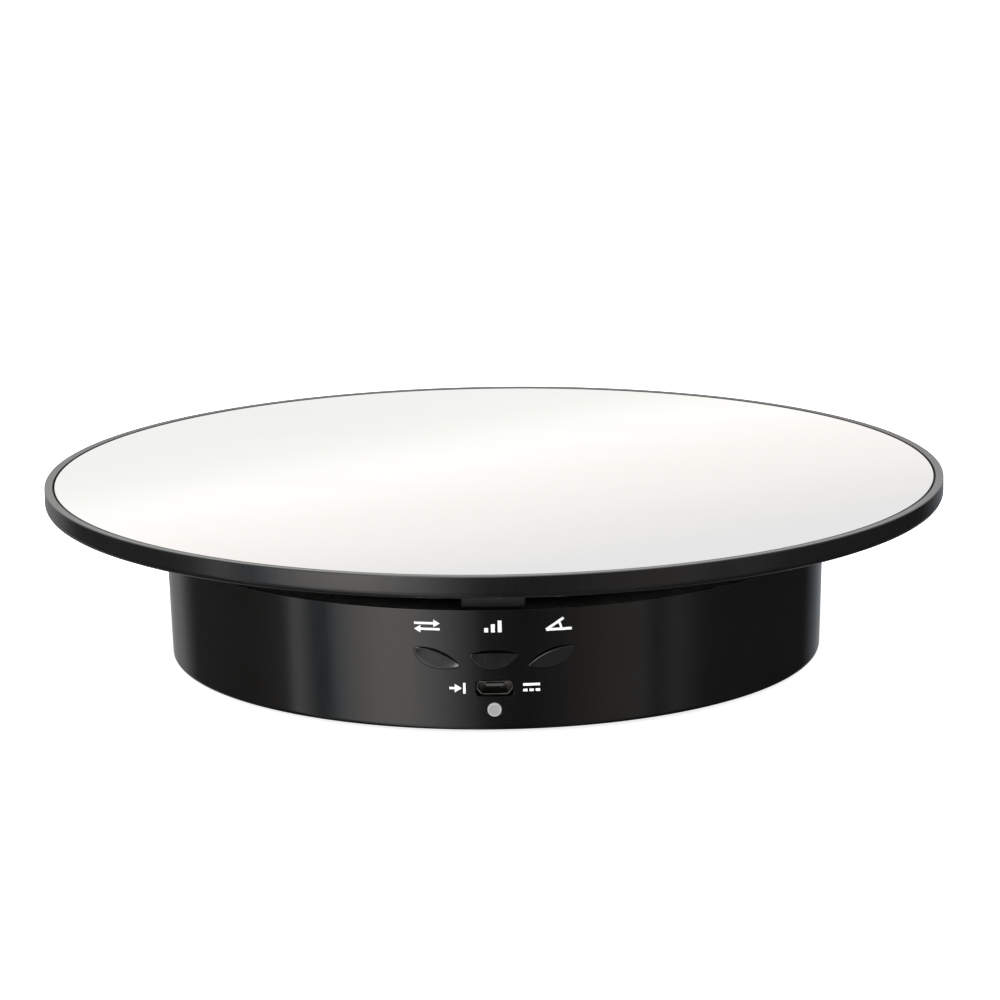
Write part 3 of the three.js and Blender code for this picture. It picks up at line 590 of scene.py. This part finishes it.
def second_finish(obj, finish, takes):
    """Gives a second finish to the faces that takes says yes to."""
    obj.data.materials.append(FINISHES[finish])
    for face in obj.data.polygons:
        if takes(face):
            face.material_index = 1


def lathed(name, profile, body, slot, finish, **options):
    bm = bmesh.new()
    lathe(bm, profile, **options)
    return add_piece(name, finish_mesh(name, bm), body, finish)


def bevelled_box(name, low, high, bevel, segments, finish):
    """A box on the base, with rounded edges, between two corners."""
    low, high = Vector(low), Vector(high)
    place = Matrix.Translation((high + low) / 2) @ Matrix.Diagonal((*(high - low), 1))
    bm = bmesh.new()
    bmesh.ops.create_cube(bm, size=1, matrix=place)
    bmesh.ops.bevel(bm, geom=list(bm.edges), offset=bevel, segments=segments, affect="EDGES")
    return add_piece(name, finish_mesh(name, bm), "base", finish)


def cut_away(obj, build_cutters):
    """Cuts each closed solid that build_cutters makes out of the piece, and keeps the result as its mesh."""
    bm = bmesh.new()
    build_cutters(bm)
    cutter = bpy.data.objects.new("cutter", finish_mesh("cutter", bm))
    bpy.context.scene.collection.objects.link(cutter)
    modifier = obj.modifiers.new("cut", "BOOLEAN")
    modifier.operation = "DIFFERENCE"
    modifier.solver = "EXACT"
    modifier.use_self = True
    modifier.object = cutter
    depsgraph = bpy.context.evaluated_depsgraph_get()
    mesh = bpy.data.meshes.new_from_object(obj.evaluated_get(depsgraph))
    obj.modifiers.remove(modifier)
    bpy.data.objects.remove(cutter)
    obj.data = mesh
    smooth(mesh)


def bezier(points, t):
    """The point of a Bezier curve, of as many control points as are given."""
    points = [Vector(p) for p in points]
    while len(points) > 1:
        points = [a.lerp(b, t) for a, b in zip(points, points[1:])]
    return points[0]


def leaf_edges(leaf, grow=0.0, crown_grow=None):
    """The belly and the crown of a leaf, each from its first tip to its second, each grown outwards."""
    crown_grow = grow if crown_grow is None else crown_grow
    tip, end = Vector(leaf["tip"]), Vector(leaf["end"])
    along = (end - tip).normalized()
    up = Vector((-along.y, along.x))
    length = (end - tip).length

    def point(a, u):
        return tip + a * along + u * up

    a1, d1, a2, d2 = leaf["belly"]
    first, last = point(-grow, 0), point(length + grow, 0)
    belly = [first, point(a1 - grow, d1 - grow), point(a2 + grow, d2 - grow), last]
    crown = [first, point(length / 2, 2 * (leaf["crown"] + crown_grow)), last]
    shares = [i / LEAF_STEPS for i in range(LEAF_STEPS + 1)]
    return [bezier(belly, t) for t in shares], [bezier(crown, t) for t in shares]


def leaf_loop(leaf, grow=0.0, crown_grow=None):
    """A leaf's closed outline."""
    belly, crown = leaf_edges(leaf, grow, crown_grow)
    return belly + crown[-2:0:-1]


def mirrored(leaf):
    """The same leaf on the other side of the panel."""
    (x0, z0), (x1, z1) = leaf["tip"], leaf["end"]
    length = math.hypot(x1 - x0, z1 - z0)
    a1, d1, a2, d2 = leaf["belly"]
    return {
        "tip": (-x1, z1),
        "end": (-x0, z0),
        "crown": leaf["crown"],
        "belly": (length - a2, d2, length - a1, d1),
    }


LEAVES = {"left": SIDE_LEAF, "centre": MIDDLE_LEAF, "right": mirrored(SIDE_LEAF)}


def panel_hole(bm, outline_at, chamfer, front=-76.0, back=-66.0, clear=0.6):
    """A cutter through the front wall, with a small chamfer at its mouth.

    outline_at gives the hole's outline, grown by an amount. The cutter starts clear of the wall.
    """
    mouth = outline_at(chamfer + clear)
    edge = outline_at(0.0)
    loft(bm, [
        [Vector((x, front, z)) for x, z in mouth],
        [on_wall(x, z, clear) for x, z in mouth],
        [on_wall(x, z, -chamfer) for x, z in edge],
        [Vector((x, back, z)) for x, z in edge],
    ])


# ---------------------------------------------------------------- platter and mirror


def build_platter():
    rim = rounded([
        (RACE_OUTER_R, WEB_BOTTOM, 0.4),
        (RIM_INNER_R, WEB_BOTTOM, 0.4),
        (RIM_INNER_R + 0.8, RIM_BOTTOM, 0.3),
        (PLATTER_R, RIM_BOTTOM, 1.5),
        (PLATTER_R, LIP_TOP, 0.22),
        (LIP_INNER_R, LIP_INNER_TOP, 0.12),
        (LIP_INNER_R, WEB_TOP, 0.0),
        (HUB_POCKET_R, WEB_TOP, 0.0),
        (HUB_POCKET_R, WEB_TOP - HUB_POCKET_DEPTH, 0.2),
        (HUB_THROAT_R, WEB_TOP - HUB_POCKET_DEPTH, 0.1),
        (HUB_THROAT_R, WEB_TOP - HUB_THROAT_DEPTH, 0.0),
        (HUB_BORE_R, WEB_TOP - HUB_THROAT_DEPTH, 0.0),
        (HUB_BORE_R, RACE_BOTTOM, 0.3),
        (HUB_R, RACE_BOTTOM, 0.3),
        (HUB_R, WEB_BOTTOM, 0.5),
        (RACE_INNER_R, WEB_BOTTOM, 0.4),
        (RACE_INNER_R, RACE_BOTTOM, 0.3),
    ], steps=6, closed=True)
    profile = rim + groove_arc(RACE_BOTTOM, upper=True) + [(RACE_OUTER_R, RACE_BOTTOM)]
    platter = lathed("platter_moulding", profile, "platter", "black_plastic", "platter_plastic", closed=True)
    weighted(platter)
    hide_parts("platter")
    for i in range(RIB_COUNT):
        build_rib(i)


def groove_arc(edge_height, upper):
    """The ball groove's arc from its inner edge to its outer one."""
    lift = math.asin(abs(edge_height - BALL_Z) / GROOVE_R)
    side = 1 if upper else -1
    angles = [math.pi - lift + (2 * lift - math.pi) * i / 12 for i in range(13)]
    return [(BALL_CIRCLE_R + GROOVE_R * math.cos(a), BALL_Z + side * GROOVE_R * math.sin(a)) for a in angles]


def build_rib(index):
    """A radial rib under the platter, drawn thinner towards its lower edge."""
    bm = bmesh.new()
    start, stop = RACE_OUTER_R + 0.1, RIM_INNER_R + 0.5
    sections = [(0.75, WEB_BOTTOM + 0.2), (0.55, RIM_BOTTOM + 0.15), (0.4, RIM_BOTTOM)]
    loft(bm, [
        [Vector((x, y, z)) for x, y in ((start, -half), (stop, -half), (stop, half), (start, half))]
        for half, z in sections
    ])
    turn = Matrix.Rotation(2 * math.pi * (index + 0.5) / RIB_COUNT, 3, "Z")
    bmesh.ops.rotate(bm, matrix=turn, verts=bm.verts)
    name = f"platter_rib_{index + 1}"
    add_piece(name, finish_mesh(name, bm), "platter", "platter_plastic")


def build_mirror():
    radius, bottom, top = MIRROR_HIGH.x, MIRROR_LOW.z, MIRROR_HIGH.z
    profile = rounded([
        (0, bottom, 0),
        (radius, bottom, 0.15),
        (radius, top, 0.16),
        (0, top, 0),
    ], steps=5)
    face_rings = [(r, top) for r in (80, 60, 40, 20)]
    profile = profile[:-1] + face_rings + profile[-1:]
    mirror = lathed("mirror_plate", profile, "platter", "mirror_glass", "mirror_glass")
    second_finish(mirror, "glass_edge", lambda face: face.normal.z < 0.98)
    weighted(mirror)
    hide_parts("mirror_disc")


# ---------------------------------------------------------------- base


def build_shell():
    profile = rounded([
        (0, BASE_BOTTOM, 0),
        (wall_radius(BASE_BOTTOM), BASE_BOTTOM, BASE_CORNER),
        (BASE_R_TOP, WALL_TOP, 0.12),
        (LEDGE_R, WALL_TOP, 0.1),
        (LEDGE_R, DECK_BOTTOM, 0.0),
        (BASE_INNER_R, DECK_BOTTOM, 0.0),
        (BASE_INNER_R, FLOOR_TOP, 0.5),
        (0, FLOOR_TOP, 0),
    ], steps=6)
    shell = lathed("shell_moulding", profile, "base", "black_plastic", "black_plastic", facets=2 * FINE)
    cut_away(shell, shell_cutters)
    second_finish(shell, "cover_plastic", lambda face: face.center.z > (WALL_TOP - 0.1) * MM)
    weighted(shell)
    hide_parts("base_shell")


def shell_cutters(bm):
    for leaf in LEAVES.values():
        panel_hole(bm, lambda grow, leaf=leaf: leaf_loop(leaf, grow), 0.06)
    panel_hole(bm, inlet_hole_outline, 0.15)
    panel_hole(bm, lambda grow: circle(0, LIGHT_Z, LIGHT_R + 0.12 + grow, 40), 0.1)
    recess = chamfered_hole(6.3, 0.25, FOOT_TOP, 0.3)
    for angle in FOOT_ANGLES:
        lathe(bm, recess, 48, centre=around(FOOT_CIRCLE_R, angle))
    well = chamfered_hole(SCREW_WELL_R, 0.4, FLOOR_TOP + 1, 0.4)
    for angle in SCREW_ANGLES:
        lathe(bm, well, 32, centre=around(FOOT_CIRCLE_R, angle))


def chamfered_hole(radius, rise, top, widening):
    """The profile of a cutter up through the base's underside, to a height, with a chamfered mouth."""
    mouth = radius + widening
    return [(0, 0), (mouth, 0), (mouth, BASE_BOTTOM), (radius, BASE_BOTTOM + rise), (radius, top), (0, top)]


def circle(x, z, radius, steps):
    angles = [2 * math.pi * i / steps for i in range(steps)]
    return [(x + radius * math.cos(a), z + radius * math.sin(a)) for a in angles]


def inlet_hole_outline(grow):
    """A rounded slot a little larger than the inlet's shell."""
    half_width, half_height, corner = 3.95 + grow, 1.6 + grow, 0.7 + grow
    outline = []
    for cx, cz, start in ((1, 1, 0), (-1, 1, 90), (-1, -1, 180), (1, -1, 270)):
        for step in range(7):
            a = math.radians(start + 15 * step)
            x = INLET_X + cx * (half_width - corner) + corner * math.cos(a)
            z = INLET_Z + cz * (half_height - corner) + corner * math.sin(a)
            outline.append((x, z))
    return outline


def build_screw_wells():
    """The posts that the case screws sit in, seen only through their wells."""
    outer, bore, top = 4.6, 1.7, 16
    tube = rounded([
        (SCREW_WELL_R, FLOOR_TOP, 0),
        (outer, FLOOR_TOP, 0),
        (outer, top, 0.2),
        (bore, top, 0.1),
        (bore, SCREW_WELL_TOP, 0),
        (SCREW_WELL_R, SCREW_WELL_TOP, 0),
    ], closed=True)
    for i, angle in enumerate(SCREW_ANGLES):
        place = around(FOOT_CIRCLE_R, angle)
        name = f"screw_post_{i + 1}"
        lathed(name, tube, "base", "black_plastic", "cover_plastic", facets=48, closed=True, centre=place)


def build_cover():
    groove = groove_arc(LOWER_RACE_TOP, upper=False)[::-1]
    profile = rounded([
        (0, DECK_BOTTOM, 0),
        (DECK_R, DECK_BOTTOM, 0.2),
        (DECK_R, DECK_TOP, 0.4),
        (RACE_OUTER_R, DECK_TOP, 0.4),
        (RACE_OUTER_R, LOWER_RACE_TOP, 0.25),
        (groove[0][0], LOWER_RACE_TOP, 0),
    ]) + groove + rounded([
        (groove[-1][0], LOWER_RACE_TOP, 0),
        (RACE_INNER_R, LOWER_RACE_TOP, 0.25),
        (RACE_INNER_R, DECK_TOP, 0.4),
        (CENTRE_POST_R, DECK_TOP, 1.2),
        (CENTRE_POST_R, CENTRE_POST_TOP, 0.3),
        (0, CENTRE_POST_TOP, 0),
    ])
    cover = lathed("cover_moulding", profile, "base", "black_plastic", "cover_plastic")

    def shaft_hole(bm):
        low, high = DECK_BOTTOM - 1.2, DECK_TOP + 1.4
        lathe(bm, [(0, low), (SHAFT_HOLE_R, low), (SHAFT_HOLE_R, high), (0, high)], 40, centre=(0, SHAFT_Y))

    cut_away(cover, shaft_hole)
    weighted(cover)
    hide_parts("top_cover")
    build_tab()


def build_tab():
    """The block that stands on the cover's edge behind the panel."""
    low, high = (-6.6, -70.4, DECK_TOP - 0.3), (6.6, -68.4, 30.5)
    # Its lighter black is painted light on a block that the platter shades.
    bevelled_box("cover_tab", low, high, 0.25, 3, "tab_lightened_plastic")


def build_feet():
    """Rubber feet, each with a shallow dish in its sole and a sloping side."""
    profile = rounded([
        (0, 0.25, 0),
        (3.9, 0.25, 0.1),
        (4.2, 0, 0.15),
        (5.2, 0, 0.5),
        (6.0, 1.0, 0.4),
        (6.0, FOOT_TOP, 0.2),
        (0, FOOT_TOP, 0),
    ])
    for i, angle in enumerate(FOOT_ANGLES):
        place = around(FOOT_CIRCLE_R, angle)
        foot = lathed(f"rubber_foot_{i + 1}", profile, "base", "rubber", "rubber", facets=64, centre=place)
        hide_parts(f"foot_{i + 1}")


# ---------------------------------------------------------------- buttons, inlet and lamp


# How far each cap's crown lies behind the wall at its first and second tip, how far its crown's edge
# rounds off, and the gap above its crown.
CROWN_SHAPE = {
    "left": (0.5, 0.45, 0.0, 0.7),
    "centre": (0.16, 0.12, 0.0, 0.7),
    "right": (0.0, 0.14, 0.16, 0.45),
}
BELLY_GAP = 0.08
BELLY_ROUND = 0.04
EDGE_WIDTH = 0.25
DISH = 0.05
TIP_RECESS = 0.2
CAP_SHARES = (0.0, 0.02, 0.06, 0.12, 0.2, 0.32, 0.5, 0.68, 0.8, 0.88, 0.94, 0.98, 1.0)
FLANGE_R = 69.95
FLANGE_GROW = 0.8
CAP_BACK = -67.5


def cap_depth(side, along, share, width, widest):
    """How far behind the wall a cap's face lies, at a share of the way from its belly to its crown."""
    first_recess, last_recess, edge_round, _ = CROWN_SHAPE[side]
    recess = first_recess + (last_recess - first_recess) * along
    near_edge = min(share, 1 - share) * width
    edge_fall = (edge_round * share + BELLY_ROUND * (1 - share)) * max(0.0, 1 - near_edge / EDGE_WIDTH) ** 2
    dish = DISH * (width / widest) * math.sin(math.pi * share) ** 1.5
    tilt = recess * share ** 1.3 * min(1.0, width / widest + 0.3)
    return tilt + edge_fall + dish


def cap_face(bm, side):
    """A cap's face, from tip to tip. Gives back its outline."""
    belly, crown = leaf_edges(LEAVES[side], -BELLY_GAP, -CROWN_SHAPE[side][3])
    widest = max((c - b).length for b, c in zip(belly, crown))
    grid = []
    for i, (low, high) in enumerate(zip(belly[1:-1], crown[1:-1])):
        width = (high - low).length
        along = (i + 1) / (len(belly) - 1)
        row = []
        for share in CAP_SHARES:
            x, z = low.lerp(high, share)
            row.append(bm.verts.new(on_wall(x, z, -cap_depth(side, along, share, width, widest))))
        grid.append(row)
    tips = [bm.verts.new(on_wall(*belly[i], -TIP_RECESS)) for i in (0, -1)]
    for first, second in zip(grid, grid[1:]):
        strip_faces(bm, first, second)
    for tip, row in zip(tips, (grid[0], grid[-1])):
        for a, b in zip(row, row[1:]):
            bm.faces.new((tip, a, b))
    return [tips[0], *[row[0] for row in grid], tips[1], *[row[-1] for row in reversed(grid)]]


def build_button(side):
    """A leaf cap: a face that tilts in towards its crown, straight sides and a flange behind the wall."""
    leaf, crown_gap = LEAVES[side], CROWN_SHAPE[side][3]
    bm = bmesh.new()

    def round_loop(*growth):
        outline = leaf_loop(leaf, *growth)
        return [bm.verts.new((x, -math.sqrt(FLANGE_R ** 2 - x * x), z)) for x, z in outline]

    rings = [cap_face(bm, side), round_loop(-BELLY_GAP, -crown_gap), round_loop(FLANGE_GROW)]
    rings.append([bm.verts.new((x, CAP_BACK, z)) for x, z in leaf_loop(leaf, FLANGE_GROW)])
    for first, second in zip(rings, rings[1:]):
        join_rings(bm, first, second)
    bm.faces.new(rings[-1])
    name = f"leaf_button_{side}"
    button = add_piece(name, finish_mesh(name, bm), f"button_{side}", "button_plastic", 50)
    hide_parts(f"button_{side}")


def inlet_outline(grow):
    """The inlet's section: wide on top, with its lower corners cut away."""
    half_width, half_height = 3.8 + grow, 1.45 + grow
    corners = [
        (-half_width + 0.95, -half_height, 0.6),
        (half_width - 0.95, -half_height, 0.6),
        (half_width, -half_height + 1.15, 0.6),
        (half_width - 0.1, half_height, 0.55),
        (-half_width + 0.1, half_height, 0.55),
        (-half_width, -half_height + 1.15, 0.6),
    ]
    shrink = 1 + grow / 2
    eased = [(x, z, r * shrink) for x, z, r in corners]
    return [(INLET_X + x, INLET_Z + z) for x, z in rounded(eased, steps=5, closed=True)]


def build_inlet():
    """The power inlet: a folded sheet shell with a rounded mouth, and the tongue with its contacts."""
    front, back = (corner.y for corner in span("inlet_shell"))
    outside = [(0.0, back), (0.0, front + 0.3), (-0.03, front + 0.1), (-0.09, front)]
    inside = [(-0.14, front), (-0.22, front + 0.12), (-0.28, front + 0.4), (-0.3, back - 0.6)]
    bm = bmesh.new()
    loft(bm, [[Vector((x, y, z)) for x, z in inlet_outline(grow)] for grow, y in outside + inside])
    # The shell's darkened nickel is painted shade for its recessed mouth.
    shell = add_piece("inlet_sheet", finish_mesh("inlet_sheet", bm), "base", "inlet_steel", 60)
    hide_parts("inlet_shell")
    low, high = span("inlet_tongue")
    # The tongue's light grey is partly its own colour and partly a painted highlight.
    tongue = bevelled_box("inlet_tongue_moulding", low, high, 0.12, 2, "tongue_plastic")
    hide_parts("inlet_tongue")
    pitch, half_width = 0.65, 0.17
    for i in range(5):
        x = INLET_X + pitch * (i - 2)
        near = (x - half_width, low.y + 0.5, low.z - 0.06)
        far = (x + half_width, high.y, low.z + 0.05)
        bevelled_box(f"inlet_contact_{i + 1}", near, far, 0.04, 2, "gold")


def build_lamp():
    """The indicator's window: a light pipe with a rounded edge and a slightly hollow face."""
    front, back = (corner.y for corner in span("light_window"))
    bm = bmesh.new()
    centre_r = 0.02
    face = [
        (centre_r, 0.10), (0.6, 0.09), (1.0, 0.05), (1.2, 0.0), (1.32, 0.01), (1.43, 0.06), (LIGHT_R, 0.16),
    ]
    sections = [(r, front + depth) for r, depth in face] + [(LIGHT_R, back)]
    loft(bm, [[Vector((x, y, z)) for x, z in circle(0, LIGHT_Z, r, 40)] for r, y in sections])
    window = add_piece("lamp_pipe", finish_mesh("lamp_pipe", bm), "base", "light_window")

    def on_edge(face):
        return math.hypot(face.center.x, face.center.z - LIGHT_Z * MM) > LIGHT_FACE_R * MM

    # Painted highlight: the faces round the rim get the lighter acrylic.
    second_finish(window, "lamp_rim_highlight", on_edge)
    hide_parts("light_window")


# ---------------------------------------------------------------- printed marks


INK_FRONT, INK_BACK = 0.02, -0.06  # outwards from the wall


def ink_stroke(bm, path, width, step=0.35):
    """A line of ink along a path of (x, z) points, laid on the wall."""
    path = [Vector(p) for p in path]
    dense = [path[0]]
    for a, b in zip(path, path[1:]):
        pieces = max(1, round((b - a).length / step))
        dense += [a.lerp(b, (i + 1) / pieces) for i in range(pieces)]
    sides = ([], [])
    for i, here in enumerate(dense):
        ahead = (dense[min(i + 1, len(dense) - 1)] - dense[max(i - 1, 0)]).normalized()
        across = Vector((-ahead.y, ahead.x)) * width / 2
        sides[0].append(here + across)
        sides[1].append(here - across)
    ink_area(bm, sides[0], sides[1])


def ink_area(bm, first, second):
    """Ink between two edges of as many points each, with a little thickness."""
    layers = []
    for outward in (INK_FRONT, INK_BACK):
        layers.append([[bm.verts.new(on_wall(p.x, p.y, outward)) for p in edge] for edge in (first, second)])
    (top_a, top_b), (low_a, low_b) = layers
    strip_faces(bm, top_a, top_b)
    strip_faces(bm, low_a, low_b)
    rim = top_a + top_b[::-1]
    low_rim = low_a + low_b[::-1]
    join_rings(bm, rim, low_rim)


def strip_faces(bm, first, second):
    for a, b, c, d in zip(first, first[1:], second[1:], second):
        bm.faces.new((a, b, c, d))


def ink_arrow_head(bm, point, direction, size):
    """A solid triangle whose point is at a place."""
    tip, ahead = Vector(point), Vector(direction)
    across = Vector((-ahead.y, ahead.x))
    base = tip - ahead * size
    half_base, half_tip = 0.62 * size, 0.02
    edge_a = [base + across * half_base, tip + across * half_tip]
    edge_b = [base - across * half_base, tip - across * half_tip]
    ink_area(bm, edge_a, edge_b)


def ink_mark(name, draw):
    bm = bmesh.new()
    draw(bm)
    add_piece(name, finish_mesh(name, bm, weld=False), "base", "ink")


def draw_direction(bm):
    """Two opposite arrows, for the direction button."""
    left, right, middle = -16.4, -11.1, 23.7
    for ahead, start, end in ((1, left, right), (-1, right, left)):
        z = middle + 0.62 * ahead
        ink_stroke(bm, [(start, z), (end - 1.1 * ahead, z)], 0.5)
        ink_arrow_head(bm, (end, z), (ahead, 0), 1.3)


def draw_speed(bm):
    """Three rising bars, for the speed button."""
    for i in range(3):
        x = -1.5 + 1.4 * i
        ink_stroke(bm, [(x, 22.5), (x, 23.45 + 0.78 * i)], 0.8)


def draw_angle(bm):
    """An angle with its arc, for the swing-angle button."""
    corner = Vector((10.9, 22.75))
    slope = math.radians(33)
    ink_stroke(bm, [(16.2, corner.y), corner], 0.55)
    ink_stroke(bm, [corner, corner + 4.3 * Vector((math.cos(slope), math.sin(slope)))], 0.55)
    angles = [slope * i / 8 for i in range(9)]
    ink_stroke(bm, [corner + 3.1 * Vector((math.cos(a), math.sin(a))) for a in angles], 0.45)


def draw_input(bm):
    """An arrow into a bar, for the power inlet."""
    z = INLET_Z
    ink_stroke(bm, [(-9.3, z), (-7.9, z)], 0.5)
    ink_arrow_head(bm, (-6.75, z), (1, 0), 1.45)
    ink_stroke(bm, [(-6.2, z - 1.15), (-6.2, z + 1.15)], 0.5)


def draw_supply(bm):
    """A full line over a broken one, for direct current."""
    ink_stroke(bm, [(6.0, 11.1), (9.5, 11.1)], 0.55)
    for i in range(3):
        x = 6.0 + 1.3 * i
        ink_stroke(bm, [(x, 9.9), (x + 0.9, 9.9)], 0.55)


def build_marks():
    ink_mark("mark_direction", draw_direction)
    ink_mark("mark_speed", draw_speed)
    ink_mark("mark_angle", draw_angle)
    ink_mark("mark_input", draw_input)
    ink_mark("mark_supply", draw_supply)


# ---------------------------------------------------------------- ball ring


def build_ball_ring():
    inner, outer = BALL_CIRCLE_R - CAGE_HALF_WIDTH, BALL_CIRCLE_R + CAGE_HALF_WIDTH
    profile = rounded([
        (inner, CAGE_LOW.z, 0.3),
        (outer, CAGE_LOW.z, 0.3),
        (outer, CAGE_HIGH.z, 0.3),
        (inner, CAGE_HIGH.z, 0.3),
    ], closed=True)
    cage = lathed("cage_moulding", profile, "ball_ring", "white_nylon", "white_nylon", closed=True)
    places = [sum(span(f"ball_{i + 1}"), Vector()) / 2 for i in range(8)]

    def pockets(bm):
        radius, low, high = BALL_R + 0.2, 28, 34
        for place in places:
            lathe(bm, [(0, low), (radius, low), (radius, high), (0, high)], 32, centre=place.xy)

    cut_away(cage, pockets)
    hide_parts("ball_cage")
    for i, place in enumerate(places):
        turns = [math.pi * k / 16 for k in range(17)]
        arc = [(BALL_R * math.sin(a), place.z - BALL_R * math.cos(a)) for a in turns]
        ball = lathed(f"steel_ball_{i + 1}", arc, "ball_ring", "steel", "steel", facets=32, centre=place.xy)
        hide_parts(f"ball_{i + 1}")


# ---------------------------------------------------------------- CAD nodes


def dress_cad_nodes():
    """Gives every CAD node its slot's finish, with smooth turned faces."""
    slots = {part["node"]: part["material_slot"] for part in frame["record"]["subparts"]}
    for name, node in frame["nodes"].items():
        node.data.materials.clear()
        node.data.materials.append(FINISHES[slots[name]])
        smooth(node.data, 32)


# ---------------------------------------------------------------- the scene

make_camera()
make_world()
bpy.context.scene.view_settings.view_transform = "Standard"
area_light("top_softbox", place=(0, -0.1, 1.4), target=(0, 0, 0), size=(1.6, 1.6), power=22)
area_light("front_fill", place=(-0.35, -1.5, 0.75), target=(0, 0, 0.03), size=(0.9, 0.6), power=12)
FINISHES = make_finishes()

floor_mesh = bpy.data.meshes.new("floor")
floor_mesh.from_pydata([(-4, -4, 0), (4, -4, 0), (4, 8, 0), (-4, 8, 0)], [], [(0, 1, 2, 3)])
floor_mesh.materials.append(pale_floor())
floor = bpy.data.objects.new("floor", floor_mesh)
bpy.context.scene.collection.objects.link(floor)
floor.visible_glossy = False

dress_cad_nodes()
build_platter()
build_mirror()
build_shell()
build_screw_wells()
build_cover()
build_feet()
for side in LEAVES:
    build_button(side)
build_inlet()
build_lamp()
build_marks()
build_ball_ring()
